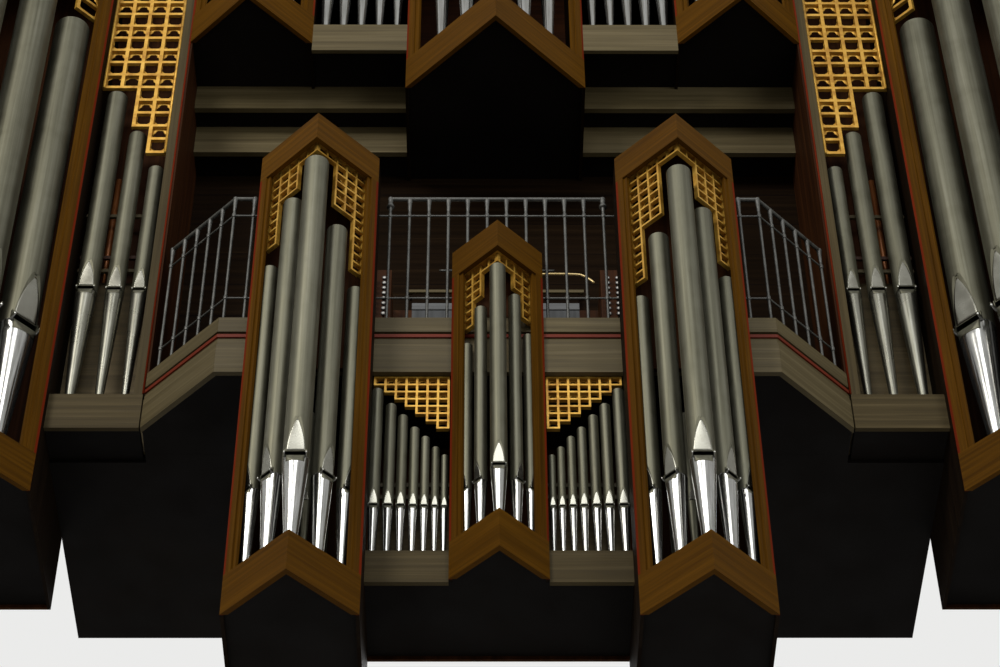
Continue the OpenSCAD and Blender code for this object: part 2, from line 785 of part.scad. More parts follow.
module upper_flats() {
  flat_w = flat_out_x - top_hw;
  color(taupe) mirror_pair() translate([top_hw, side_y, 0]) {
    translate([0, 0, top_flat_z]) cube([flat_w, board_t, top_flat_base_h]);
    translate([0, 0, flat_top - flat_head_h]) cube([flat_w, board_t, flat_head_h]);
  }
}

module upper_middle_pipes() {
  color(tin) translate([0, side_y, 0])
    tower_pipes(top_hw, top_deck, top_foot, top_radii, top_back, top_spread, top_tops);
}

module upper_outer_pipes() {
  color(tin) mirror_pair() translate([outer_x, side_y, 0])
    tower_pipes(outer_hw, flat_deck, outer_foot, outer_radii, outer_back, outer_spread, outer_tops);
}

module upper_flat_pipes() {
  color(tin) mirror_pair() for (i = [0 : 4])
    translate([flat_out_x - 76 - 126 * i, side_y + 95, flat_deck + toe_gap])
      pipe(54 - 3 * i, top_flat_foot, 2050 - 130 * i);
}

module upper_grilles() {
  flat_w = flat_out_x - top_hw;
  cell_h = 0.8 * big_cell_h;
  thin = 1.4 * bar;
  color(gold) translate([0, side_y, 0]) {
    tower_grille(top_hw, top_top - top_head_h, grille_lap, [top_rows, top_rows], big_cell_h, big_bar);
    mirror_pair() translate([outer_x, 0, 0])
      tower_grille(outer_hw, outer_top - top_head_h, grille_lap, outer_rows, cell_h, thin);
    mirror_pair() translate([top_hw + thin / 2 + toe_gap, 60, flat_top - flat_head_h - thin / 2 - toe_gap])
      grille([4, 4, 3, 2, 2], (flat_w - thin - 2 * toe_gap) / 5, cell_h, thin, bar_d);
  }
}

// Keydesk
module keydesk() {
  color(taupe) translate([0, desk_y - desk_d, floor_h]) {
    mirror_pair() translate([desk_hw - jamb_w, 0, 0]) cube([jamb_w, desk_d - toe_gap, desk_h]);
    translate([-desk_hw + jamb_w - eps, desk_d - 60, 0])
      cube([2 * (desk_hw - jamb_w + eps), 60 - toe_gap, desk_h]);
    translate([-desk_hw + jamb_w - eps, 60, manual_z - 60])
      cube([2 * (desk_hw - jamb_w + eps), desk_d - 100, 60]);
  }
}

// Three steps of keys, each a little higher and further back.
module manuals() {
  keys_w = 2 * (desk_hw - jamb_w) - 60;
  color("ivory") for (i = [0 : 2])
    translate([-keys_w / 2, desk_y - desk_d + 70 + i * 85, floor_h + manual_z + i * 62 + toe_gap * (i + 1)])
      cube([keys_w, 115, 62 - toe_gap]);
}

module stop_knobs() {
  knob_pitch = 48;
  color(dark) for (side = [-1, 1]) for (col = [-1, 1]) for (row = [0 : 7])
    translate([side * (desk_hw - jamb_w / 2 + 32 * col), desk_y - desk_d - toe_gap, floor_h + knob_z + knob_pitch * row])
      rotate([90, 0, 0]) {
        cylinder(h = 26, d = 12, $fn = 16);
        translate([0, 0, 26]) cylinder(h = 14, d = 30, $fn = 24);
      }
}

place() gallery_floor();
place() gallery_front();
place() mirror_pair() gallery_side();  // gallery_sides
place() front_railing();
place() side_railings();
place() front_case_sides();
place() front_case_back();
place() front_case_decks();
place() front_flat_boards();
place() front_outer_towers();
place() front_middle_tower();
place() front_tower_sides();
place() front_tower_backs();
place() front_outer_pipes();
place() front_middle_pipes();
place() front_flat_pipes();
place() front_outer_grilles();
place() front_middle_grille();
place() front_flat_grilles();
place() side_fields();
place() side_backs();
place() side_decks();
place() side_pipes();
place() side_field_grilles();
place() pedal_towers();
place() pedal_side_boards();
place() pedal_pipes();
place() pedal_grilles();
place() player_wall();
place() main_side_walls();
place() back_wall();
place() upper_decks();
place() upper_roofs();
place() soffit_beams();
place() upper_middle_tower();
place() upper_outer_towers();
place() upper_side_boards();
place() upper_flats();
place() upper_middle_pipes();
place() upper_outer_pipes();
place() upper_flat_pipes();
place() upper_grilles();
place() keydesk();
place() manuals();
place() stop_knobs();
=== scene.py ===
import math

import bpy
import numpy as np
from mathutils import Matrix, Vector


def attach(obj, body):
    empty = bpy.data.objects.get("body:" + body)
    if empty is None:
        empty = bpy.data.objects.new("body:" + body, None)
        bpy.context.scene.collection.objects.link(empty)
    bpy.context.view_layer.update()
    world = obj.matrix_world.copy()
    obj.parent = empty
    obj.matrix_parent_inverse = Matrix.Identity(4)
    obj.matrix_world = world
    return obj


# Church pipe organ on its gallery, seen from the floor of the nave.
# Everything is in metres: +X to the right, +Y into the organ, +Z up,
# zero height on the underside of the gallery floor.

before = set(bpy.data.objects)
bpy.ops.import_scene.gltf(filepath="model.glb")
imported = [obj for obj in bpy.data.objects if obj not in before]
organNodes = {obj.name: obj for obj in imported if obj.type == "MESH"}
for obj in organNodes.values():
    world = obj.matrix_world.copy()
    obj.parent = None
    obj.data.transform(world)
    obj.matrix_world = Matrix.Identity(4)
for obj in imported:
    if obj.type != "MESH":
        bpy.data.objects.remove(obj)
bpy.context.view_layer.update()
print("frame loaded:", len(organNodes), "nodes")


def addNode(tree, kind, props=None, sockets=None):
    # one shader node; a socket value may be a plain value or another node's output
    node = tree.nodes.new(kind)
    for key, value in (props or {}).items():
        setattr(node, key, value)
    for key, value in (sockets or {}).items():
        if isinstance(value, bpy.types.NodeSocket):
            tree.links.new(value, node.inputs[key])
        else:
            node.inputs[key].default_value = value
    return node


def mathNode(tree, operation, first, second=0.0):
    # the result of one step of arithmetic
    return addNode(tree, "ShaderNodeMath", {"operation": operation}, {0: first, 1: second}).outputs[0]


def axisOf(tree, letter):
    # one of the three object coordinates
    coords = addNode(tree, "ShaderNodeTexCoord").outputs["Object"]
    return addNode(tree, "ShaderNodeSeparateXYZ", None, {0: coords}).outputs[letter]


def objectCoords(tree, scale=(1.0, 1.0, 1.0), shift=(0.0, 0.0, 0.0)):
    # object coordinates, stretched
    coords = addNode(tree, "ShaderNodeTexCoord")
    return addNode(tree, "ShaderNodeMapping", None, {
        "Vector": coords.outputs["Object"], "Scale": scale, "Location": shift}).outputs[0]


def noise(tree, vector, scale, detail=4.0, rough=0.55, twist=0.0):
    # cloudy values around a half
    return addNode(tree, "ShaderNodeTexNoise", None, {
        "Vector": vector, "Scale": scale, "Detail": detail, "Roughness": rough,
        "Distortion": twist}).outputs["Fac"]


def ramp(tree, factor, stops):
    # colour ramp from (position, colour) stops
    node = addNode(tree, "ShaderNodeValToRGB", None, {"Fac": factor})
    band = node.color_ramp
    while len(band.elements) < len(stops):
        band.elements.new(0.5)
    for element, (place, colour) in zip(band.elements, stops):
        element.position = place
        element.color = (*colour, 1.0)
    return node.outputs["Color"]


def mixColour(tree, factor, first, second, mode="MIX"):
    # second over first; either may be a plain colour
    node = addNode(tree, "ShaderNodeMix", {"data_type": "RGBA", "blend_type": mode}, {0: factor})
    for slot, value in ((6, first), (7, second)):
        if isinstance(value, bpy.types.NodeSocket):
            tree.links.new(value, node.inputs[slot])
        else:
            node.inputs[slot].default_value = (*value, 1.0)
    return node.outputs[2]


def mapRange(tree, value, fromLow, fromHigh, toLow, toHigh):
    # straight change from one range to another
    return addNode(tree, "ShaderNodeMapRange", None, {
        "Value": value, "From Min": fromLow, "From Max": fromHigh,
        "To Min": toLow, "To Max": toHigh}).outputs[0]


def heightMask(tree, low, high):
    # 1 between two heights, 0 outside
    z = axisOf(tree, "Z")
    above = mathNode(tree, "GREATER_THAN", z, low)
    below = mathNode(tree, "LESS_THAN", z, high)
    return mathNode(tree, "MULTIPLY", above, below)


def newMaterial(name):
    # a finish with nothing set yet, its tree and its shader
    material = bpy.data.materials.new(name)
    material.use_nodes = True
    tree = material.node_tree
    shader = tree.nodes["Principled BSDF"]
    return material, tree, shader


def surfaceInto(tree, shader, colour, pattern, rough, metallic=0.0, sheen=0.5):
    # colour, and a roughness that follows a pattern between its two values
    tree.links.new(colour, shader.inputs["Base Color"])
    tree.links.new(mapRange(tree, pattern, 0.3, 0.7, *rough), shader.inputs["Roughness"])
    shader.inputs["Metallic"].default_value = metallic
    shader.inputs["Specular IOR Level"].default_value = sheen


def bumpInto(tree, shader, height, strength, distance):
    # a relief that rises with the pattern
    node = addNode(tree, "ShaderNodeBump", None, {
        "Height": height, "Strength": strength, "Distance": distance})
    tree.links.new(node.outputs[0], shader.inputs["Normal"])


veneerLooks = {
    # three tones of the grain, its fineness across and along, roughness and sheen
    "ochreVeneer": dict(dark=(0.051, 0.0205, 0.0009), mid=(0.081, 0.0335, 0.0016),
                        light=(0.116, 0.0505, 0.0029),
                        across=34.0, along=0.7, rough=(0.50, 0.64), sheen=0.04),
    "taupeVeneer": dict(dark=(0.056, 0.042, 0.017), mid=(0.090, 0.070, 0.032),
                        light=(0.136, 0.108, 0.056),
                        across=30.0, along=0.5, rough=(0.50, 0.64), sheen=0.16),
    # painted shade: a darker copy of taupeVeneer for the flat's boards and the side fields, which lie
    # further from the light
    "umberVeneer": dict(dark=(0.036, 0.026, 0.010), mid=(0.058, 0.043, 0.018),
                        light=(0.090, 0.068, 0.032),
                        across=30.0, along=0.5, rough=(0.52, 0.66), sheen=0.08),
    "innerOak": dict(dark=(0.030, 0.009, 0.002), mid=(0.062, 0.018, 0.004),
                     light=(0.115, 0.036, 0.008),
                     across=22.0, along=0.5, rough=(0.45, 0.62), sheen=0.20),
    # painted shade: a darker copy of innerOak for the backs and walls inside the case and the keydesk's
    # jambs
    "shadeOak": dict(dark=(0.0150, 0.0052, 0.0016), mid=(0.0310, 0.0105, 0.0030),
                     light=(0.0580, 0.0205, 0.0060),
                     across=22.0, along=0.5, rough=(0.55, 0.70), sheen=0.04),
    # painted shade: oak darkened to the shadow over the gallery, for walls, case sides, roofs and side
    # boards
    "wallOak": dict(dark=(0.0040, 0.0021, 0.0009), mid=(0.0078, 0.0042, 0.0018),
                    light=(0.0145, 0.0082, 0.0036),
                    across=22.0, along=0.5, rough=(0.60, 0.74), sheen=0.02),
    # painted shade: near-black wood for the undersides and decks, which lie in shadow
    "blackStain": dict(dark=(0.0022, 0.0016, 0.0012), mid=(0.0042, 0.0030, 0.0022),
                       light=(0.0075, 0.0054, 0.0040),
                       across=24.0, along=0.5, rough=(0.62, 0.80), sheen=0.08),
    "redPaint": dict(dark=(0.085, 0.009, 0.002), mid=(0.125, 0.014, 0.003),
                     light=(0.160, 0.021, 0.005),
                     across=26.0, along=0.6, rough=(0.52, 0.64), sheen=0.03),
    "chestPine": dict(dark=(0.060, 0.043, 0.018), mid=(0.100, 0.074, 0.034),
                      light=(0.150, 0.115, 0.056),
                      across=20.0, along=0.5, rough=(0.52, 0.66), sheen=0.15),
    "deskLacquer": dict(dark=(0.060, 0.062, 0.063), mid=(0.092, 0.096, 0.098),
                        light=(0.125, 0.130, 0.132),
                        across=30.0, along=0.6, rough=(0.36, 0.48), sheen=0.40),
}
plankLook = dict(height=0.3072, joint=0.022, gap=(0.002, 0.001, 0.001),
                 darkest=(0.78, 0.76, 0.74), lightest=(1.25, 1.2, 1.15))


def grainTones(tree, fibres, look):
    # dark lines, the wood's own tone and pale streaks
    return ramp(tree, fibres, [(0.30, look["dark"]), (0.52, look["mid"]), (0.74, look["light"])])


def uprightGrain(tree, look):
    # coordinates that stretch a pattern along z
    return objectCoords(tree, (look["across"], look["across"], look["along"]), (3.1, 1.7, 0.4))


def veneer(lookName, grain="level", band=None, painted=None, planks=False):
    # fibres are noise stretched along the grain; pores are the same noise, six times finer
    look = veneerLooks[lookName]
    marks = [lookName, grain] + [f"{heights[0]:.2f}" for heights in (band, painted) if heights]
    material, tree, shader = newMaterial("_".join(marks + ["planks"] * planks))
    vector = objectCoords(tree, (look["along"], look["along"], look["across"]))
    if grain == "upright":
        vector = uprightGrain(tree, look)
    elif grain == "mixed":  # upright within the band, level above and below
        vector = addNode(tree, "ShaderNodeMix", {"data_type": "VECTOR"}, {
            0: heightMask(tree, *band), 4: vector, 5: uprightGrain(tree, look)}).outputs[1]
    fibres = noise(tree, vector, 1.0, 7.0, 0.62, 0.35)
    pores = noise(tree, vector, 6.0, 3.0, 0.6)
    cloud = noise(tree, objectCoords(tree), 0.9, 2.0)
    poreTone = ramp(tree, pores, [(0.30, (0.62, 0.60, 0.58)), (0.56, (1.0, 1.0, 1.0))])
    colour = mixColour(tree, 0.55, grainTones(tree, fibres, look), poreTone, "MULTIPLY")
    cloudTone = ramp(tree, cloud, [(0.30, (0.80, 0.79, 0.78)), (0.70, (1.12, 1.11, 1.09))])
    colour = mixColour(tree, 0.8, colour, cloudTone, "MULTIPLY")
    if painted:  # a red edge between two heights
        red = veneerLooks["redPaint"]
        paint = ramp(tree, fibres, [(0.3, red["dark"]), (0.7, red["light"])])
        colour = mixColour(tree, heightMask(tree, *painted), colour, paint)
    if planks:  # open joints between level boards, every plank a little different
        boards = mathNode(tree, "DIVIDE", axisOf(tree, "Z"), plankLook["height"])
        joint = mathNode(tree, "LESS_THAN", mathNode(tree, "FRACT", boards), plankLook["joint"])
        shade = addNode(tree, "ShaderNodeTexWhiteNoise", {"noise_dimensions": "1D"},
                        {"W": mathNode(tree, "FLOOR", boards)}).outputs["Value"]
        boardTone = ramp(tree, shade, [(0.0, plankLook["darkest"]), (1.0, plankLook["lightest"])])
        colour = mixColour(tree, 0.9, colour, boardTone, "MULTIPLY")
        colour = mixColour(tree, joint, colour, plankLook["gap"])
    surfaceInto(tree, shader, colour, pores, look["rough"], sheen=look["sheen"])
    bumpInto(tree, shader, pores, 0.18, 0.0015)
    return material


noseLook = dict(chair=-1.7605, middle=-1.5215, pedal=-1.1035, upper=-1.0345, middleHalf=0.30)


def redNosed(name, noseY, middleNoseY=None):
    # board of darkened wall oak, the darkness painted shade; its front edge alone is painted: red ahead of
    # noseY, and near the middle line ahead of middleNoseY
    dark, red = veneerLooks["wallOak"], veneerLooks["redPaint"]
    material, tree, shader = newMaterial(name)
    fibres = noise(tree, uprightGrain(tree, dark), 1.0, 7.0, 0.62, 0.35)
    y = axisOf(tree, "Y")
    nose = mathNode(tree, "LESS_THAN", y, noseY)
    if middleNoseY is not None:
        spread = mathNode(tree, "ABSOLUTE", axisOf(tree, "X"))
        near = mathNode(tree, "LESS_THAN", spread, noseLook["middleHalf"])
        ahead = mathNode(tree, "LESS_THAN", y, middleNoseY)
        nose = mathNode(tree, "MAXIMUM", nose, mathNode(tree, "MULTIPLY", near, ahead))
    colour = mixColour(tree, nose, grainTones(tree, fibres, dark), grainTones(tree, fibres, red))
    surfaceInto(tree, shader, colour, fibres, red["rough"], sheen=red["sheen"])
    bumpInto(tree, shader, fibres, 0.10, 0.001)
    return material


tinLook = dict(
    body=((0.070, 0.067, 0.045), (0.112, 0.108, 0.076), (0.160, 0.155, 0.118)),
    brightFoot=((0.210, 0.208, 0.190), (0.310, 0.309, 0.292), (0.450, 0.450, 0.440)),
    # the side fields' feet get darker tones: painted shade
    shadedFoot=((0.120, 0.116, 0.090), (0.180, 0.176, 0.142), (0.260, 0.255, 0.220)),
    bodyRough=(0.44, 0.56), brightRough=(0.14, 0.21), dullRough=(0.24, 0.34),
    stops=(0.28, 0.52, 0.80), lowest=-9.0)


def streakTones(tree, streaks, tones):
    # dark, middle and bright metal
    return ramp(tree, streaks, list(zip(tinLook["stops"], tones)))


def tinMetal(mouthHeight=None):
    # tin alloy: long streaks up the sheet, soft smudges and shallow dents;
    # below the mouths the feet are burnished brighter
    name = "tinPipe" if mouthHeight is None else f"tinPipe_{mouthHeight:.2f}"
    material, tree, shader = newMaterial(name)
    streaks = noise(tree, objectCoords(tree, (34.0, 34.0, 0.5)), 1.0, 5.0, 0.6, 0.2)
    smudge = noise(tree, objectCoords(tree), 5.5, 5.0, 0.6, 0.4)
    dents = noise(tree, objectCoords(tree, (5.0, 5.0, 1.6)), 1.0, 2.0)
    colour = streakTones(tree, streaks, tinLook["body"])
    if mouthHeight is not None:
        burnished = streakTones(tree, streaks, tinLook["brightFoot"])
        colour = mixColour(tree, heightMask(tree, tinLook["lowest"], mouthHeight), colour, burnished)
    smudgeTone = ramp(tree, smudge, [(0.32, (0.80, 0.79, 0.75)), (0.55, (1.0, 1.0, 1.0))])
    colour = mixColour(tree, 0.7, colour, smudgeTone, "MULTIPLY")
    surfaceInto(tree, shader, colour, smudge, tinLook["bodyRough"], metallic=0.9)
    bumpInto(tree, shader, dents, 0.06, 0.006)
    return material


def footMetal(name, tones, rough):
    # burnished sheet: straight streaks towards the toe, only a breath of smudging
    material, tree, shader = newMaterial(name)
    streaks = noise(tree, objectCoords(tree, (60.0, 60.0, 0.8)), 1.0, 4.0, 0.6, 0.1)
    smudge = noise(tree, objectCoords(tree), 3.0, 3.0, 0.5)
    surfaceInto(tree, shader, streakTones(tree, streaks, tones), smudge, rough, metallic=0.95)
    bumpInto(tree, shader, streaks, 0.006, 0.0003)
    return material


goldLook = dict(deep=(0.290, 0.132, 0.012), leaf=(0.480, 0.262, 0.032), glint=(0.650, 0.405, 0.078),
                rough=(0.42, 0.56))


def goldLeaf():
    # leaf over a ground: patches of tone, with slightly rough overlaps
    material, tree, shader = newMaterial("goldGrille")
    patches = noise(tree, objectCoords(tree), 11.0, 4.0, 0.6, 0.5)
    fine = noise(tree, objectCoords(tree), 90.0, 2.0)
    tones = [(0.30, goldLook["deep"]), (0.50, goldLook["leaf"]), (0.78, goldLook["glint"])]
    colour = ramp(tree, patches, tones)
    surfaceInto(tree, shader, colour, fine, goldLook["rough"], metallic=0.55)
    bumpInto(tree, shader, fine, 0.10, 0.001)
    return material


steelLook = dict(paint=(0.046, 0.046, 0.040), worn=(0.090, 0.089, 0.078), foot=(0.008, 0.008, 0.008),
                 footTop=0.470, rough=(0.34, 0.46))


def steelPaint():
    # grey lacquer, rubbed a little lighter in patches; the feet are black
    material, tree, shader = newMaterial("steelRail")
    rub = noise(tree, objectCoords(tree), 14.0, 4.0, 0.6)
    colour = ramp(tree, rub, [(0.40, steelLook["paint"]), (0.72, steelLook["worn"])])
    colour = mixColour(tree, heightMask(tree, 0.0, steelLook["footTop"]), colour, steelLook["foot"])
    surfaceInto(tree, shader, colour, rub, steelLook["rough"], metallic=0.25)
    bumpInto(tree, shader, rub, 0.05, 0.001)
    return material


deskLook = dict(panelY=-0.2700, panelHalf=0.555)


def deskWood():
    # brown jambs, darkened as painted shade, and grey lacquer on the middle of the panel, which lies behind
    # panelY
    dark, grey = veneerLooks["shadeOak"], veneerLooks["deskLacquer"]
    material, tree, shader = newMaterial("keydeskOak")
    grain = objectCoords(tree, (dark["across"], dark["across"], dark["along"]))
    fibres = noise(tree, grain, 1.0, 6.0, 0.6, 0.3)
    behind = mathNode(tree, "GREATER_THAN", axisOf(tree, "Y"), deskLook["panelY"])
    spread = mathNode(tree, "ABSOLUTE", axisOf(tree, "X"))
    near = mathNode(tree, "LESS_THAN", spread, deskLook["panelHalf"])
    panel = ramp(tree, fibres, [(0.30, grey["dark"]), (0.70, grey["mid"])])
    onPanel = mathNode(tree, "MULTIPLY", behind, near)
    colour = mixColour(tree, onPanel, grainTones(tree, fibres, dark), panel)
    surfaceInto(tree, shader, colour, fibres, grey["rough"], sheen=dark["sheen"])
    bumpInto(tree, shader, fibres, 0.08, 0.001)
    return material


fleckedLooks = {
    # dark and light tone, least roughness, fineness of the fleck, metal
    "ivoryKeys": ((0.55, 0.50, 0.38), (0.64, 0.59, 0.47), 0.32, 30.0, 0.0),
    "ebonyKnobs": ((0.012, 0.010, 0.009), (0.026, 0.020, 0.016), 0.24, 30.0, 0.0),
    "porcelain": ((0.40, 0.38, 0.34), (0.52, 0.50, 0.45), 0.24, 50.0, 0.0),
    "railFoot": ((0.008, 0.008, 0.008), (0.016, 0.015, 0.014), 0.35, 40.0, 0.0),
    "burnishedLip": ((0.17, 0.165, 0.135), (0.23, 0.225, 0.190), 0.20, 7.0, 0.95),
    "earBead": ((0.40, 0.40, 0.36), (0.54, 0.54, 0.50), 0.24, 60.0, 0.9),
    "copperPipe": ((0.210, 0.062, 0.013), (0.310, 0.105, 0.024), 0.38, 6.0, 0.4),
    "lampBrass": ((0.46, 0.33, 0.13), (0.62, 0.47, 0.22), 0.30, 30.0, 0.6),
}


def flecked(name):
    # small turned or pressed parts: a fine fleck over two near tones
    dark, light, rough, fineness, metallic = fleckedLooks[name]
    material, tree, shader = newMaterial(name)
    fleck = noise(tree, objectCoords(tree), fineness, 3.0)
    colour = ramp(tree, fleck, [(0.35, dark), (0.65, light)])
    surfaceInto(tree, shader, colour, fleck, (rough, rough + 0.1), metallic)
    bumpInto(tree, shader, fleck, 0.06, 0.0006)
    return material


# heights between which the stiles stand, so that their grain runs upright
stileBands = dict(chair=(-1.779, 1.377), middle=(-1.330, 0.771), pedal=(-0.277, 5.468),
                  top=(3.538, 7.214), outer=(4.034, 6.640), side=(0.283, 4.804))
paintedEdge = (0.2905, 0.3165)  # heights of the red edge round the gallery

taupeLevel = veneer("taupeVeneer")
taupeEdged = veneer("taupeVeneer", painted=paintedEdge)
# the undersides and decks are near black: painted shade
shadeBlackLevel = veneer("blackStain")
oakLevel = veneer("innerOak")
# the darker oak inside the case: painted shade
shadedOakUpright = veneer("shadeOak", "upright")
# the darkened wall oak: painted shade
shadedWallLevel = veneer("wallOak")
tin = tinMetal()
lipMetal = flecked("burnishedLip")
gold = goldLeaf()
steel = steelPaint()

finishes = {
    "gallery_floor": shadeBlackLevel,
    "gallery_front": taupeEdged,
    "gallery_sides": taupeEdged,
    "front_railing": steel,
    "side_railings": steel,
    "front_case_sides": veneer("wallOak", "upright"),
    "front_case_back": shadedOakUpright,
    "front_case_decks": shadeBlackLevel,
    # the boards under the flats take the darker taupe: painted shade
    "front_flat_boards": veneer("umberVeneer"),
    "front_outer_towers": veneer("ochreVeneer", "mixed", stileBands["chair"]),
    "front_middle_tower": veneer("ochreVeneer", "mixed", stileBands["middle"]),
    "front_tower_sides": redNosed("chairSides", noseLook["chair"], noseLook["middle"]),
    "front_tower_backs": shadedOakUpright,
    # the side fields take the darker taupe too: painted shade
    "side_fields": veneer("umberVeneer", "mixed", stileBands["side"]),
    "side_backs": shadedOakUpright,
    "side_decks": shadeBlackLevel,
    "pedal_towers": veneer("ochreVeneer", "mixed", stileBands["pedal"]),
    "pedal_side_boards": redNosed("pedalSides", noseLook["pedal"]),
    "player_wall": veneer("wallOak", planks=True),
    "main_side_walls": shadedOakUpright,
    "back_wall": oakLevel,
    "upper_decks": shadeBlackLevel,
    "upper_roofs": shadedWallLevel,
    "soffit_beams": taupeLevel,
    "upper_middle_tower": veneer("ochreVeneer", "mixed", stileBands["top"]),
    "upper_outer_towers": veneer("ochreVeneer", "mixed", stileBands["outer"]),
    "upper_side_boards": redNosed("upperSides", noseLook["upper"]),
    "upper_flats": taupeLevel,
    "keydesk": deskWood(),
    "manuals": flecked("ivoryKeys"),
    "stop_knobs": flecked("ebonyKnobs"),
    # the feet of these ranks are bright up to the height of their slots
    "front_outer_pipes": tinMetal(-1.190),
    "front_middle_pipes": tinMetal(-0.970),
    "front_flat_pipes": tinMetal(-1.007),
    "side_pipes": tin,
    "pedal_pipes": tinMetal(0.719),
    "upper_middle_pipes": tinMetal(4.471),
    "upper_outer_pipes": tinMetal(4.747),
    "upper_flat_pipes": tinMetal(4.567),
}
for nodeName in organNodes:
    slots = organNodes[nodeName].data.materials
    slots.clear()
    slots.append(gold if "grille" in nodeName else finishes[nodeName])
print("finishes on", len(organNodes), "nodes")


def pointGrid(x, y, z):
    # three coordinates of any matching shapes, joined to one array of points
    return np.stack(np.broadcast_arrays(x, y, z), axis=-1)


def gridFaces(rows, columns, ring):
    # quads between neighbours on a rows x columns grid of points; in a ring the last column meets the first
    row = np.arange(rows - 1)[:, None] * columns
    column = np.arange(columns if ring else columns - 1)[None, :]
    nextColumn = (column + 1) % columns
    corners = [row + column, row + columns + column, row + columns + nextColumn, row + nextColumn]
    return np.stack(np.broadcast_arrays(*corners), axis=-1).reshape(-1, 4)


def addPiece(name, grids, material, ring=True, thick=0.0, smooth=True, flip=False):
    # grids: count x rows x columns x 3 points, one surface for each; they become one object
    count, rows, columns = grids.shape[:3]
    faces = gridFaces(rows, columns, ring)
    if flip:
        faces = faces[:, ::-1]
    shift = np.arange(count)[:, None, None] * rows * columns
    allFaces = (faces[None] + shift).reshape(-1, 4).tolist()
    if ring and not thick:  # a solid: its first and last rings become end faces
        rim = np.arange(columns)
        ends = np.stack([rim, (rows - 1) * columns + rim[::-1]])
        if flip:
            ends = ends[:, ::-1]
        allFaces += (ends[None] + shift).reshape(-1, columns).tolist()
    mesh = bpy.data.meshes.new(name)
    mesh.from_pydata(grids.reshape(-1, 3).tolist(), [], allFaces)
    mesh.polygons.foreach_set("use_smooth", np.full(len(mesh.polygons), smooth))
    mesh.materials.append(material)
    piece = bpy.data.objects.new(name, mesh)
    bpy.context.scene.collection.objects.link(piece)
    if thick:
        shell = piece.modifiers.new("thickness", "SOLIDIFY")
        shell.thickness, shell.offset = thick, -1.0
        shell.use_even_offset = False
    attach(piece, "root")
    print("piece", name, "faces", len(mesh.polygons))


def turned(centres, profile, sides=20):
    # a circle for each (radius, height) of the profile, stacked along z over each centre
    angle = np.linspace(0, 2 * np.pi, sides, endpoint=False)
    radii, heights = np.array(profile, dtype=float).T[:, :, None]
    shape = pointGrid(radii * np.cos(angle), radii * np.sin(angle), heights)
    return np.array(centres)[:, None, None, :] + shape[None]


def tubeAlong(path, radius, sides=14):
    # circles square to the path, kept from twisting by one fixed helper direction
    step = np.gradient(path, axis=0)
    step /= np.linalg.norm(step, axis=-1, keepdims=True)
    side = np.cross(np.array([[0.13, 0.21, 1.0]]), step)
    side /= np.linalg.norm(side, axis=-1, keepdims=True)
    other = np.cross(step, side)
    angle = np.linspace(0, 2 * np.pi, sides, endpoint=False)[None, :, None]
    tube = path[:, None] + radius * (np.cos(angle) * side[:, None] + np.sin(angle) * other[:, None])
    return tube[None]


def sectionAlong(section, fromX, toX, y=0.0, z=0.0):
    # a closed section of (back, up) points carried straight along x
    back, up = np.array(section, dtype=float).T
    return pointGrid(np.array([[fromX], [toX]]), y + back, z + up)[None]


bothSides = ((-1, "_l"), (1, "_r"))  # direction of x, and what the names of such pieces end in


def mirroredTowers(shapes):
    # a tower off the middle line stands on both sides of it
    return [dict(shape, centre=(side * shape["x"], shape["y"]))
            for shape in shapes for side in ((-1, 1) if shape["x"] else (1,))]


# every rank in front: where its tower stands, the sills of its slots, the length of its feet,
# and its pipes from the point outwards
towerRanks = mirroredTowers([
    dict(x=1.083, y=-1.763, half=0.360, sill=-1.1897, foot=0.794, radii=(0.074, 0.061, 0.048),
         back=(0.086, 0.090, 0.084), spread=(0.134, 0.252)),
    dict(x=0.0, y=-1.524, half=0.271, sill=-0.9697, foot=0.565, radii=(0.048, 0.037, 0.030),
         back=(0.060, 0.0665, 0.0613), spread=(0.099, 0.176)),
    dict(x=3.420, y=-1.106, half=0.740, sill=0.7193, foot=1.226, radii=(0.138, 0.125, 0.120),
         back=(0.174, 0.161, 0.156), spread=(0.280, 0.495)),
    dict(x=0.0, y=-1.036, half=0.613, sill=4.4713, foot=1.180, radii=(0.094, 0.082, 0.064),
         back=(0.118, 0.112, 0.100), spread=(0.197, 0.370)),
    dict(x=1.695, y=-1.036, half=0.425, sill=4.7473, foot=0.960, radii=(0.068, 0.058, 0.046),
         back=(0.092, 0.088, 0.082), spread=(0.146, 0.262)),
])
sideRank = dict(x=(2.247, 2.402, 2.580), y=-0.926, sill=1.2763, foot=1.212, radii=(0.052, 0.059, 0.070))
flatRanks = [
    dict(x=(0.693, 0.613, 0.543, 0.474, 0.412, 0.353, 0.301), y=-1.436, sill=-1.0067, foot=0.528,
         radii=[0.034 - 0.0023 * i for i in range(7)]),
    sideRank,
    dict(x=[1.194 - 0.126 * i for i in range(5)], y=-0.941, sill=4.5673, foot=0.780,
         radii=[0.054 - 0.003 * i for i in range(5)]),
]


def allMouths():
    # x, y and sill of each mouth, its pipe's radius, turn and foot length; a tower's pipe stands
    # its own distance behind the face it belongs to, which runs at 45 degrees
    rows = []
    for rank in towerRanks:
        x = np.array([0.0, *rank["spread"]])
        y = x - rank["half"] + np.array(rank["back"]) * math.sqrt(2)
        for side, i in ((-1, 1), (-1, 2), (1, 0), (1, 1), (1, 2)):
            turn = side * math.pi / 4 if i else 0.0
            rows.append((rank["centre"][0] + side * x[i], rank["centre"][1] + y[i], rank["sill"],
                         rank["radii"][i], turn, rank["foot"]))
    for rank in flatRanks:
        for side in (-1, 1):
            for x, radius in zip(rank["x"], rank["radii"]):
                rows.append((side * x, rank["y"], rank["sill"], radius, 0.0, rank["foot"]))
    return np.array(rows)


mouths = allMouths()
mouthPlaces = mouths[:, :3]
mouthRadii, mouthTurns, footLengths = mouths[:, 3:].T


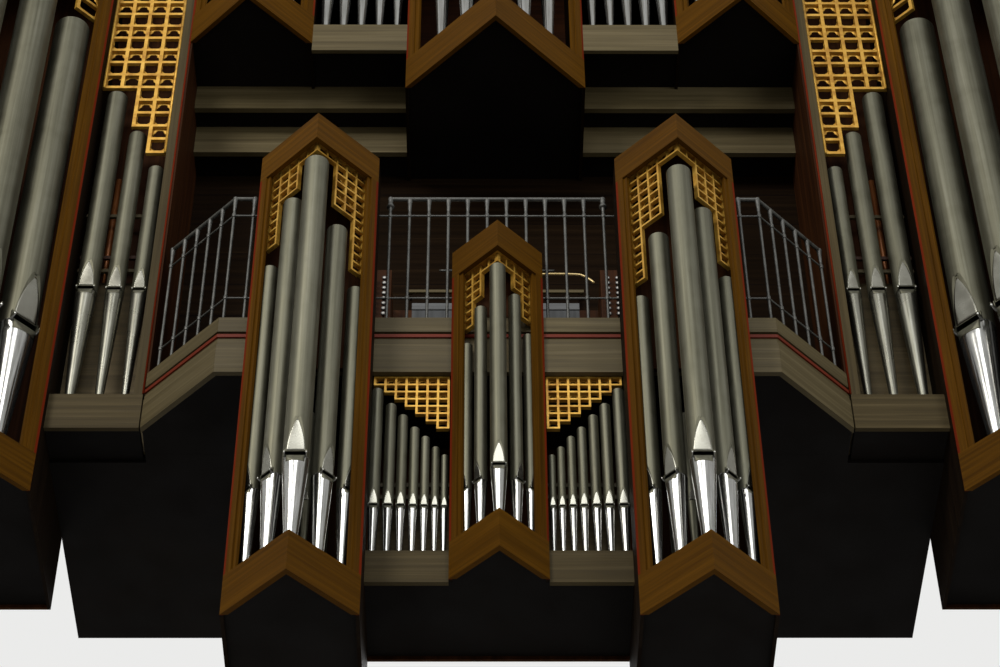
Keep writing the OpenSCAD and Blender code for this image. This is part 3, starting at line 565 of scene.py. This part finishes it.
def turnedToMouth(x, y, z):
    # coordinates in radii, facing -y, are turned, sized and moved to every mouth
    cosine, sine = np.cos(mouthTurns)[:, None, None], np.sin(mouthTurns)[:, None, None]
    local = pointGrid(x * cosine - y * sine, x * sine + y * cosine, z)
    return mouthPlaces[:, None, None, :] + mouthRadii[:, None, None, None] * local


# in radii of the pipe, as the feet, lower lips and ears are; sheets have their thickness in metres
leafShape = dict(halfWidth=0.675, height=3.0, flat=0.69, tip=0.97, fullHeight=3.1, slot=0.40, dome=0.012,
                 lift=0.022, thick=0.0006)


def leafHalf(v):
    # half width at a share v of the height: two arcs that start upright and meet in a point
    shape = leafShape
    arc = (shape["height"] ** 2 + shape["halfWidth"] ** 2) / (2 * shape["halfWidth"])
    return np.sqrt(arc ** 2 - (v * shape["height"]) ** 2) - (arc - shape["halfWidth"])


def makeLeaves():
    # upper lips, laid on the plane that leans out to the pipe's wall,
    # with a slight dome across that fades to the edges
    shape = leafShape
    u = np.linspace(-1, 1, 13)[:, None]
    v = np.linspace(0.012, 0.985, 19)[None, :]
    depth = shape["flat"] + (shape["tip"] - shape["flat"]) * v * shape["height"] / shape["fullHeight"]
    y = -(depth + shape["lift"] + shape["dome"] * (1 - u ** 2) * np.sin(np.pi * v) ** 0.5)
    leaves = turnedToMouth(u * leafHalf(v), y, shape["slot"] + v * shape["height"])
    addPiece("lip_leaves", leaves, lipMetal, ring=False, thick=shape["thick"])


# the toe is a share of the pipe's radius, but at least leastToe metres
footShape = dict(lip=0.70, flat=0.69, planeEnd=1.2, toe=0.26, leastToe=0.006, seam=0.05, lift=0.012,
                 toeGap=0.02, topTuck=0.93, toeTuck=0.80, sides=32)


def footDepth(x, below):
    # how far the foot's surface lies ahead of the axis, in radii, at x and at a distance below the sill:
    # the cone's chord, cut back to the plane of the lower lip; the cone's radius comes with it
    shape = footShape
    toe = np.maximum(shape["leastToe"], shape["toe"] * mouthRadii) / mouthRadii
    length = footLengths / mouthRadii - shape["seam"]
    slope = ((1 - toe) / length)[:, None, None]
    radius = np.minimum(1.0, 1 - slope * (below - shape["seam"]))
    edge = 1 - slope * (shape["lip"] - shape["seam"])
    plane = shape["flat"] + (edge - shape["flat"]) * below / shape["lip"]
    chord = np.sqrt(np.maximum(radius ** 2 - x ** 2, 0.0))
    return np.minimum(chord, np.where(below < shape["planeEnd"], plane, np.inf)), radius


def makeFootSleeves():
    # the soldered sheet of each foot: rings round the cone from the sill to the toe,
    # with the front of the upper rings pressed back to the lip's plane
    shape = footShape
    toe = footLengths / mouthRadii - shape["toeGap"]
    # two rings close under the sill, then those of the pressed part and those of the cone
    share = np.concatenate([np.array([0.010, 0.015]) / toe.max(), np.linspace(0.012, 0.07, 7),
                            np.linspace(0.09, 0.999, 12)])
    below = toe[:, None, None] * share[None, :, None]
    angle = np.linspace(0, 2 * np.pi, shape["sides"], endpoint=False)[None, None, :]
    _, radius = footDepth(0.0, below)
    radius = radius + shape["lift"]
    x, y = radius * np.sin(angle), -radius * np.cos(angle)
    ahead, _ = footDepth(x, below)
    y = np.maximum(y, -(ahead + shape["lift"]))
    tuck = np.ones((len(share), 1))  # both ends are tucked into the wall
    tuck[0], tuck[-1] = shape["topTuck"], shape["toeTuck"]
    sleeves = turnedToMouth(x * tuck, y * tuck, -below)
    # the side fields' feet take darker, rougher metal; the darker tone is painted shade
    dull = np.isclose(mouthPlaces[:, 1], sideRank["y"])
    bright = footMetal("brightFeet", tinLook["brightFoot"], tinLook["brightRough"])
    addPiece("foot_sleeves", sleeves[~dull], bright)
    soft = footMetal("shadedFeet", tinLook["shadedFoot"], tinLook["dullRough"])
    addPiece("side_foot_sleeves", sleeves[dull], soft)


lipShape = dict(halfWidth=0.715, narrowing=0.05, height=0.66, curve=0.07, lift=0.020, thick=0.0008)


def makeLowerLips():
    # a dull sheet over the top of the foot, below the slot: it follows the foot's surface,
    # narrows a little and ends in a shallow curve
    shape = lipShape
    u = np.linspace(-1, 1, 17)[None, :, None]
    v = np.linspace(0.02, 1.0, 9)[None, None, :]
    x = u * (shape["halfWidth"] - shape["narrowing"] * v)
    below = v * (shape["height"] + shape["curve"] * (1 - u ** 2))
    ahead, _ = footDepth(x, below)
    addPiece("lower_lips", turnedToMouth(x, -(ahead + shape["lift"]), -below), tin, ring=False,
             thick=shape["thick"], flip=True)


earShape = dict(x=0.80, y=-0.97, z=0.06, size=0.075, stretch=1.25)


def makeEarBeads():
    # a small bead closes the lower front corner of each ear: radius is the sine of the half turn
    shape = earShape
    rise = np.linspace(0.04, np.pi - 0.04, 7)[:, None]
    around = np.linspace(0, 2 * np.pi, 10, endpoint=False)[None, :]
    x = shape["size"] * np.sin(rise) * np.cos(around)
    y = shape["size"] * np.sin(rise) * np.sin(around)
    z = -shape["size"] * shape["stretch"] * np.cos(rise)
    pairs = [turnedToMouth(x + side * shape["x"], y + shape["y"], z + shape["z"]) for side in (-1, 1)]
    addPiece("ear_beads", np.concatenate(pairs), flecked("earBead"), flip=True)


makeLeaves()
makeFootSleeves()
makeLowerLips()
makeEarBeads()

fretShape = dict(behind=0.0275, thick=0.003, tall=0.82, points=48, shoulder=0.66, waist=0.34,
                 fade=0.08, roundness=0.45, widest=1.3, start=0.001, apart=0.002, flatBehind=0.0015)
fretHoles = dict(frets_front=0.86, frets_pedal=0.76, frets_side=0.76, frets_upper=0.76)  # share of a column
leafPlace = dict(setBack=0.048, edge=0.009)  # behind the tower's face, and short of its outer end

# the grille over each of the towerRanks: its top, a cell's height, its bar,
# and how many cells hang in each column, from the point outwards on the left and on the right
towerGrilles = [
    dict(name="frets_front", top=1.4250, cell=0.074, bar=0.013, steps=((1, 1, 4, 4, 9), (1, 1, 6, 6, 12))),
    dict(name="frets_front", top=1.4250, cell=0.074, bar=0.013, steps=((1, 1, 7, 7, 13), (1, 1, 5, 5, 11))),
    dict(name="frets_front", top=0.7910, cell=0.067, bar=0.013, steps=((1, 1, 4, 7), (1, 1, 3, 6))),
    dict(name="frets_pedal", top=5.5150, cell=0.138, bar=0.024, steps=((1, 1, 4, 7, 12), (1, 1, 4, 7, 12))),
    dict(name="frets_pedal", top=5.5150, cell=0.138, bar=0.024, steps=((1, 1, 4, 7, 12), (1, 1, 4, 7, 12))),
    dict(name="frets_upper", top=7.2610, cell=0.138, bar=0.024, steps=((1, 1, 3, 4, 8), (1, 1, 3, 4, 8))),
    dict(name="frets_upper", top=6.6841, cell=0.1104, bar=0.0182, steps=((1, 1, 2, 5), (1, 1, 3, 6))),
    dict(name="frets_upper", top=6.6841, cell=0.1104, bar=0.0182, steps=((1, 1, 3, 6), (1, 1, 2, 5))),
]
# flat grilles run outwards from their start, the same on both sides; run is the width of a column
sideGrille = dict(name="frets_side", start=2.1903, y=-0.976, top=4.7927, run=0.11928, cell=0.138,
                  steps=(16, 14, 11, 11))
flatGrilles = [
    dict(name="frets_front", start=0.284, y=-1.436, top=-0.0068, run=0.06086, cell=0.058,
         steps=(7, 6, 5, 4, 3, 2, 1)),
    sideGrille,
    dict(name="frets_upper", start=0.6224, y=-0.976, top=6.0646, run=0.1277, cell=0.1104,
         steps=(4, 4, 3, 2, 2)),
]


def leafLength(rank):
    # from the point of a tower's grille to its outer end
    return math.sqrt(2) * rank["half"] - 2 * leafPlace["setBack"]


def onLeaf(rank, side, along, behind):
    # a leaf runs outwards and back at 45 degrees from its point; behind it is inwards and back
    x = rank["centre"][0] + side * (along - behind) / math.sqrt(2)
    y = rank["centre"][1] + (along + behind - leafLength(rank)) / math.sqrt(2)
    return x, y


def fretCell(low, high, bottom, top, hole):
    # ring between a board's four edges and a lobed opening: both are drawn at the same angles,
    # the opening a soft rectangle whose width drops to a waist beyond its shoulders
    shape = fretShape
    angle = np.linspace(0, 2 * np.pi, shape["points"], endpoint=False) + math.pi / shape["points"]
    cosine, sine = np.cos(angle), np.sin(angle)
    halfX, halfZ = (high - low) / 2, (top - bottom) / 2
    reach = 1.0 / np.maximum(np.abs(cosine) / halfX, np.abs(sine) / halfZ)
    outer = np.stack([reach * cosine, reach * sine], axis=-1)
    sideways = np.sign(cosine) * np.abs(cosine) ** shape["roundness"]
    upward = np.sign(sine) * np.abs(sine) ** shape["roundness"]
    beyond = np.clip((np.abs(upward) - shape["shoulder"]) / shape["fade"], 0, 1)
    width = min(halfX, shape["widest"] * halfZ) * hole
    inner = np.stack([sideways * width * (1 - shape["waist"] * beyond),
                      upward * halfZ * shape["tall"]], axis=-1)
    middle = np.array([(low + high) / 2, (bottom + top) / 2])
    return np.stack([middle + outer, middle + 0.5 * (outer + inner), middle + inner])


def fretSheet(grille, steps, run, first):
    # cells are taken two at a time down each column; first is where the sheet may start
    rings = []
    for i, count in enumerate(steps):
        low = i * run if i else first
        for top in range(0, count, 2):
            bottom = min(top + 2, count)
            rings.append(fretCell(low, (i + 1) * run, -bottom * grille["cell"], -top * grille["cell"],
                                  fretHoles[grille["name"]]))
    return np.array(rings)


def makeFrets():
    # sheets of cells laid along the leaves of the towers and along the flat grilles
    shape = fretShape
    sheets = {}
    for rank, grille in zip(towerRanks, towerGrilles):
        start = shape["start"] + grille["bar"] / 2
        for (side, ending), steps in zip(bothSides, grille["steps"]):
            run = (leafLength(rank) - grille["bar"] / 2 - leafPlace["edge"]) / len(steps)
            rings = fretSheet(grille, steps, run, shape["behind"] + shape["thick"] + shape["apart"])
            x, y = onLeaf(rank, side, start + rings[..., 0], shape["behind"])
            sheet = pointGrid(x, y, grille["top"] + rings[..., 1])
            sheets.setdefault(grille["name"] + ending, []).append(sheet)
    for grille in flatGrilles:
        rings = fretSheet(grille, grille["steps"], grille["run"], 0.0)
        for side, ending in bothSides:
            sheet = pointGrid(side * (grille["start"] + rings[..., 0]), grille["y"] + shape["flatBehind"],
                              grille["top"] + rings[..., 1])
            sheets.setdefault(grille["name"] + ending, []).append(sheet)
    for name, parts in sheets.items():
        addPiece(name, np.concatenate(parts), gold, thick=shape["thick"], flip=name.endswith("_r"))


# the radius goes with a bar of forBar and grows with the bar
beadShape = dict(radius=0.007, forBar=0.013, overlap=0.35, behind=0.004, below=0.012, point=0.05,
                 rise=0.004, sideRadius=0.011, sideBelow=0.018, sideAhead=0.031, sideOut=0.001, sides=10)


def makeGrilleBeads():
    # round beads at the outer edge of each tower grille leaf and at both edges of the side fields'
    shape = beadShape
    beads = []

    def stand(x, y, low, high, radius):
        # a rod with a short point at each end
        tip, rise = shape["point"] * radius, shape["rise"]
        profile = [(tip, low), (radius, low + rise), (radius, high - rise), (tip, high)]
        beads.append(turned([(x, y, 0.0)], profile, shape["sides"]))

    for rank, grille in zip(towerRanks, towerGrilles):
        radius = grille["bar"] / shape["forBar"] * shape["radius"]
        along = leafLength(rank) + shape["overlap"] * radius
        for side, steps in zip((-1, 1), grille["steps"]):
            x, y = onLeaf(rank, side, along, shape["behind"])
            low = grille["top"] - steps[-1] * grille["cell"] - shape["below"]
            stand(x, y, low, grille["top"], radius)
    first, steps, high = sideGrille["start"], sideGrille["steps"], sideGrille["top"]
    last = first + len(steps) * sideGrille["run"]
    y = sideGrille["y"] - shape["sideAhead"]
    for side in (-1, 1):
        for x, cells in ((first - shape["sideOut"], steps[0]), (last + shape["sideOut"], steps[-1])):
            low = high - cells * sideGrille["cell"] - shape["sideBelow"]
            stand(side * x, y, low, high, shape["sideRadius"])
    addPiece("grille_beads", np.concatenate(beads), gold, flip=True)


makeFrets()
makeGrilleBeads()

railingShape = dict(
    base=0.4573, top=1.5773, lower=0.6733, upper=1.4203, pitch=0.120, y=-1.455, corner=1.626,
    frontCount=12, sideCount=6,
    # (radius, height) profiles: feet from the base, heads and collars from the top, clips round a thin rail
    foot=[(0.0135, 0.0004), (0.024, 0.0006), (0.025, 0.005), (0.022, 0.011), (0.016, 0.017),
          (0.0105, 0.026), (0.0092, 0.0262)],
    head=[(0.0092, -0.120), (0.0098, -0.118), (0.0118, -0.070), (0.0140, -0.035), (0.0158, -0.022),
          (0.0165, -0.013), (0.0155, -0.004), (0.0120, 0.0035), (0.0060, 0.0075), (0.0004, 0.0085)],
    collar=[(0.0092, -0.082), (0.024, -0.078), (0.0245, -0.070), (0.017, -0.050), (0.013, -0.034),
            (0.0092, -0.032)],
    clip=[(0.0125, -0.0155), (0.0135, -0.012), (0.0135, 0.012), (0.0125, 0.0155)])


def balusterSpots():
    # x, y of every baluster: the front ones from left to right, then both slanting runs
    shape = railingShape
    middle = (shape["frontCount"] - 1) / 2
    spots = [((i - middle) * shape["pitch"], shape["y"]) for i in range(shape["frontCount"])]
    for side in (-1, 1):
        spots.append((side * (shape["corner"] - shape["pitch"]), shape["y"]))
        for i in range(shape["sideCount"]):
            step = i * shape["pitch"] / math.sqrt(2)
            spots.append((side * (shape["corner"] + step), shape["y"] + step))
    return np.array(spots)


def makeRailingDetails():
    # feet: a turned cup; heads: a socket that widens under the rail; collars at the ends of the front run;
    # clips where the thin rails cross: a short band round each baluster
    shape = railingShape
    spots = balusterSpots()
    ends = spots[[0, shape["frontCount"] - 1]]

    def standing(places, height):
        # x, y, z of places at one height
        return np.column_stack([places, np.full(len(places), height)])

    feet = turned(standing(spots, shape["base"]), shape["foot"])
    addPiece("baluster_feet", feet, flecked("railFoot"), flip=True)
    heads = turned(standing(spots, shape["top"]), shape["head"], 16)
    addPiece("baluster_heads", heads, steel, flip=True)
    collars = turned(standing(ends, shape["top"]), shape["collar"])
    addPiece("end_collars", collars, steel, flip=True)
    crossings = np.concatenate([standing(spots, shape["lower"]), standing(spots, shape["upper"])])
    addPiece("rail_clips", turned(crossings, shape["clip"], 14), steel, flip=True)


makeRailingDetails()

chestShape = dict(
    inner=2.101, outer=2.678, y=-0.760, low=0.0655,
    section=[(0.0, 0.0), (0.022, 0.0), (0.024, 0.004), (0.024, 1.493), (0.018, 1.499), (0.004, 1.499),
             (0.0, 1.495)])
cornerShape = dict(x=2.1185, y=-1.0365, sides=12,
                   profile=[(0.0003, 0.2830), (0.0065, 0.2840), (0.0065, 4.8030), (0.0003, 4.8040)])


def makeSideChests():
    # front boards of the wind chests, right behind the feet of the side fields' pipes
    shape = chestShape
    pine = veneer("chestPine")
    for side, ending in bothSides:
        board = sectionAlong(shape["section"], side * shape["inner"], side * shape["outer"],
                             shape["y"], shape["low"])
        addPiece("chest_front" + ending, board, pine, smooth=False, flip=side > 0)


def makeCornerBeads():
    # painted beads on the inner corners of the side fields
    shape = cornerShape
    centres = [(side * shape["x"], shape["y"], 0.0) for side in (-1, 1)]
    beads = turned(centres, shape["profile"], shape["sides"])
    addPiece("corner_beads", beads, veneer("redPaint", "upright"), flip=True)


rackShape = dict(
    section=[(0.0, 0.0), (0.018, 0.0), (0.020, 0.003), (0.020, 0.027), (0.018, 0.030),
             (0.002, 0.030), (0.0, 0.028), (0.0, 0.002)],
    # inner and outer end, y, heights
    side=(2.1005, 2.677, -0.845, (1.575, 2.105)),
    chair=(0.274, 0.720, -1.392, (-0.895, -0.805)),
    warm=(2.1005, 2.677, -0.845, (1.700,)))


def makeRacks():
    # rack rails: a board section with softened corners carried from end to end
    for name, fields, wood in (("rack_rails", ("side", "chair"), taupeLevel),
                               ("rack_rail_warm", ("warm",), oakLevel)):
        for side, ending in bothSides:
            rails = []
            for inner, outer, y, heights in (rackShape[field] for field in fields):
                ends = side * inner, side * outer
                rails += [sectionAlong(rackShape["section"], *ends, y, z) for z in heights]
            addPiece(name + ending, np.concatenate(rails), wood, smooth=False, flip=side > 0)


makeSideChests()
makeCornerBeads()
makeRacks()

innerShape = dict(
    tip=0.05, toe=0.3, rim=0.9,  # shares of the radius
    toeRise=0.002, rimDepth=0.05,
    lipAhead=1.02, lipCurve=0.04, slot=0.2,  # shares of the radius too
    # behind the side fields' front pipes: x, radius, top
    copper=[(2.20, 0.019, 2.26), (2.30, 0.020, 2.38), (2.41, 0.021, 2.46), (2.52, 0.022, 2.58),
            (2.61, 0.023, 2.66)],
    copperY=-0.748, copperToe=1.565, copperCone=0.30,
    # behind the outer front towers' pipes: x inwards from the tower's middle, y, radius, toe, sill, top
    tin=[(0.030, -1.600, 0.027, -1.90, -1.127, -0.45), (0.135, -1.565, 0.024, -1.90, -1.367, -0.70)])


def slenderPipe(x, y, radius, toe, shoulder, top, sides):
    # toe, cone, body and a turned-in rim
    shape = innerShape
    rim = shape["rim"] * radius
    profile = [(shape["tip"] * radius, toe), (shape["toe"] * radius, toe + shape["toeRise"]),
               (radius, shoulder), (radius, top), (rim, top), (rim, top - shape["rimDepth"])]
    return turned([(x, y, 0.0)], profile, sides)


def innerLeaf(x, y, radius, sill):
    # an upper lip ahead of a slender pipe, whose edges fall back a little near the slot
    shape = innerShape
    u = np.linspace(-1, 1, 9)[:, None]
    v = np.linspace(0.02, 0.985, 13)[None, :]
    ahead = shape["lipAhead"] - shape["lipCurve"] * u ** 2 * (1 - v)
    return pointGrid(x + radius * u * leafHalf(v), y - radius * ahead,
                     sill + radius * (shape["slot"] + v * leafShape["height"]))


def makeInnerRanks():
    # slender pipes that show between the front ones, the same on both sides
    shape = innerShape
    toe = shape["copperToe"]
    coppers = [slenderPipe(side * x, shape["copperY"], radius, toe, toe + shape["copperCone"], top, 18)
               for side in (-1, 1) for x, radius, top in shape["copper"]]
    addPiece("inner_copper_pipes", np.concatenate(coppers), flecked("copperPipe"), flip=True)
    tower = towerRanks[0]["x"]
    places = [(side * (tower - x), *rest) for side in (-1, 1) for x, *rest in shape["tin"]]
    tins = [slenderPipe(x, y, radius, low, sill, top, 20) for x, y, radius, low, sill, top in places]
    addPiece("inner_tin_pipes", np.concatenate(tins), tin, flip=True)
    leaves = [innerLeaf(x, y, radius, sill) for x, y, radius, _, sill, _ in places]
    addPiece("inner_lip_leaves", np.array(leaves), lipMetal, ring=False, thick=leafShape["thick"])


makeInnerRanks()

knobShape = dict(x=(0.723, 0.787), y=-0.6641, lowest=1.386, step=0.048, rows=8, size=0.0095, dome=0.0022,
                 sunk=0.001, sides=14)


def makeKnobFaces():
    # porcelain faces: a shallow dome on every stop knob, turned to face -y
    shape = knobShape
    centres = np.array([(side * x, shape["y"], shape["lowest"] + row * shape["step"])
                        for side in (-1, 1) for x in shape["x"] for row in range(shape["rows"])])
    rise = np.linspace(0, np.pi / 2 - 0.05, 5)
    profile = [(shape["size"], -shape["sunk"]),
               *zip(shape["size"] * np.cos(rise), shape["dome"] * np.sin(rise))]
    face = turned([(0.0, 0.0, 0.0)], profile, shape["sides"])
    facing = pointGrid(face[..., 0], -face[..., 2], face[..., 1])
    addPiece("knob_faces", centres[:, None, None, :] + facing, flecked("porcelain"), flip=True)


musicDesk = dict(top=1.8363, soft=0.003, boards={
    # half width, front, back, low and high above the top of the keydesk, wood
    "music_panel": (deskLook["panelHalf"], -0.272, -0.252, 0.0, 0.063, veneer("deskLacquer")),
    "music_back": (deskLook["panelHalf"], -0.250, -0.235, 0.0, 0.178, shadedWallLevel),
    "music_ledge": (0.590, -0.262, -0.232, 0.179, 0.207, taupeLevel),
})


def makeMusicDesk():
    # a grey board and a dark one, whose darkness is painted shade, on top of the keydesk, under a ledge;
    # all have cut corners
    soft = musicDesk["soft"]
    for name, (half, front, back, low, high, wood) in musicDesk["boards"].items():
        section = [(front + soft, low), (back - soft, low), (back, low + soft), (back, high - soft),
                   (back - soft, high), (front + soft, high), (front, high - soft), (front, low + soft)]
        board = sectionAlong(section, -half, half, z=musicDesk["top"])
        addPiece(name, board, wood, smooth=False, flip=True)


lampShape = dict(elbowX=0.150, elbowZ=1.782, bend=0.030, y=-0.600, low=1.700, postGap=0.006, reach=0.490,
                 bow=0.014, bowTurn=3.2, dip=0.072, dipFrom=0.80, dipCurve=1.6, radius=0.0075)


def makeLampArm():
    # a slim brass tube rises behind the middle tower, bends through a quarter turn,
    # runs level with a slight bow and dips at its end
    shape = lampShape
    t = np.linspace(0, 1, 60)
    turn = np.linspace(0, np.pi / 2, 8)[:-1]
    dip = shape["dip"] * np.clip((t - shape["dipFrom"]) / (1 - shape["dipFrom"]), 0, 1) ** shape["dipCurve"]
    x = np.concatenate([np.full(8, -shape["bend"]), -shape["bend"] * np.cos(turn), shape["reach"] * t])
    z = np.concatenate([np.linspace(shape["low"] - shape["elbowZ"], -shape["postGap"], 8),
                        shape["bend"] * np.sin(turn),
                        shape["bend"] + shape["bow"] * np.sin(shape["bowTurn"] * t) - dip])
    path = pointGrid(shape["elbowX"] + x, shape["y"], shape["elbowZ"] + z)
    addPiece("lamp_arm", tubeAlong(path, shape["radius"]), flecked("lampBrass"), flip=True)


rodShape = dict(left=-0.350, right=0.347, y=-1.4438, z=0.931, radius=0.006)


def makeMiddleRod():
    # short third rod of the railing, behind the middle tower
    path = pointGrid(np.linspace(rodShape["left"], rodShape["right"], 24), rodShape["y"], rodShape["z"])
    addPiece("middle_rod", tubeAlong(path, rodShape["radius"]), steel, flip=True)


makeKnobFaces()
makeMusicDesk()
makeLampArm()
makeMiddleRod()

studio = dict(
    floorHeight=-13.2, floorSize=90.0, floorTone=(0.72, 0.71, 0.69), floorPoints=12,
    backTone=(0.83, 0.83, 0.82), ambient=0.34,
    # name: place, target, size, watts, colour
    lamps={
        "keyLamp": ((-9.0, -15.0, 9.0), (0.0, 0.0, 2.0), 7.0, 1900.0, (1.0, 0.97, 0.92)),
        "lipLamp": ((0.2, -15.0, 9.0), (0.0, -1.5, -1.0), 5.6, 560.0, (0.97, 0.98, 1.0)),
        "fillLamp": ((11.0, -13.0, 2.0), (0.0, 0.0, 2.0), 8.0, 700.0, (0.95, 0.97, 1.0)),
        "backLamp": ((3.0, 14.0, 9.0), (0.0, 0.0, 3.0), 8.0, 900.0, (1.0, 1.0, 1.0)),
    })


def makeFloor():
    # one flat square grid far below the gallery, of a tone that drifts by three hundredths
    count = studio["floorPoints"]
    across = np.linspace(-studio["floorSize"] / 2, studio["floorSize"] / 2, count)
    points = pointGrid(across[:, None], across[None, :], studio["floorHeight"])
    mesh = bpy.data.meshes.new("paleFloor")
    mesh.from_pydata(points.reshape(-1, 3).tolist(), [], gridFaces(count, count, False).tolist())
    floor = bpy.data.objects.new("paleFloor", mesh)
    bpy.context.scene.collection.objects.link(floor)
    material, tree, shader = newMaterial("paleFloor")
    tone = noise(tree, objectCoords(tree), 0.5, 3.0)
    darker = tuple(value * 0.97 for value in studio["floorTone"])
    colour = ramp(tree, tone, [(0.3, darker), (0.7, studio["floorTone"])])
    tree.links.new(colour, shader.inputs["Base Color"])
    shader.inputs["Roughness"].default_value = 0.85
    mesh.materials.append(material)


def makeLamps():
    # round soft lamps, each turned so that its -Z looks at its target
    for name, (place, target, size, watts, colour) in studio["lamps"].items():
        lamp = bpy.data.lights.new(name, "AREA")
        lamp.shape = "DISK"
        lamp.size = size
        lamp.energy = watts
        lamp.color = colour
        holder = bpy.data.objects.new(name, lamp)
        holder.location = place
        holder.rotation_mode = "QUATERNION"
        holder.rotation_quaternion = (Vector(target) - Vector(place)).to_track_quat("-Z", "Y")
        bpy.context.scene.collection.objects.link(holder)


def makeWorld():
    # pale to the eye and in reflections, dimmer as light
    world = bpy.data.worlds.new("softRoom")
    world.use_nodes = True
    tree = world.node_tree
    back = tree.nodes["Background"]
    path = addNode(tree, "ShaderNodeLightPath").outputs
    seen = mathNode(tree, "MAXIMUM", path["Is Camera Ray"], path["Is Glossy Ray"])
    seen = mathNode(tree, "MAXIMUM", seen, path["Is Transmission Ray"])
    back.inputs["Color"].default_value = (*studio["backTone"], 1.0)
    tree.links.new(mapRange(tree, seen, 0.0, 1.0, studio["ambient"], 1.0), back.inputs["Strength"])
    bpy.context.scene.world = world


cameraSetup = dict(
    place=(-0.1041, -12.0391, -10.6993),
    yaw=0.0112, pitch=0.8077, roll=-0.0074,  # radians: turned right, up, and tilted
    lens=93.43, sensor=36.0)


def makeCamera():
    # the viewing direction from yaw and pitch, then the picture's own axes turned by roll
    yaw, pitch, roll = (cameraSetup[key] for key in ("yaw", "pitch", "roll"))
    ahead = Vector((math.sin(yaw) * math.cos(pitch), math.cos(yaw) * math.cos(pitch), math.sin(pitch)))
    right = Vector((math.cos(yaw), -math.sin(yaw), 0.0))
    up = right.cross(ahead)
    pictureRight = math.cos(roll) * right + math.sin(roll) * up
    pictureUp = -math.sin(roll) * right + math.cos(roll) * up
    axes = Matrix((pictureRight, pictureUp, -ahead)).transposed()
    data = bpy.data.cameras.new("naveCamera")
    data.lens = cameraSetup["lens"]
    data.sensor_width = cameraSetup["sensor"]
    data.sensor_fit = "HORIZONTAL"
    data.clip_start, data.clip_end = 0.1, 200.0
    camera = bpy.data.objects.new("naveCamera", data)
    camera.matrix_world = Matrix.Translation(Vector(cameraSetup["place"])) @ axes.to_4x4()
    bpy.context.scene.collection.objects.link(camera)
    bpy.context.scene.camera = camera


makeFloor()
makeLamps()
makeWorld()
makeCamera()
bpy.context.scene.view_settings.view_transform = "Standard"
print("floor, lamps and camera set")
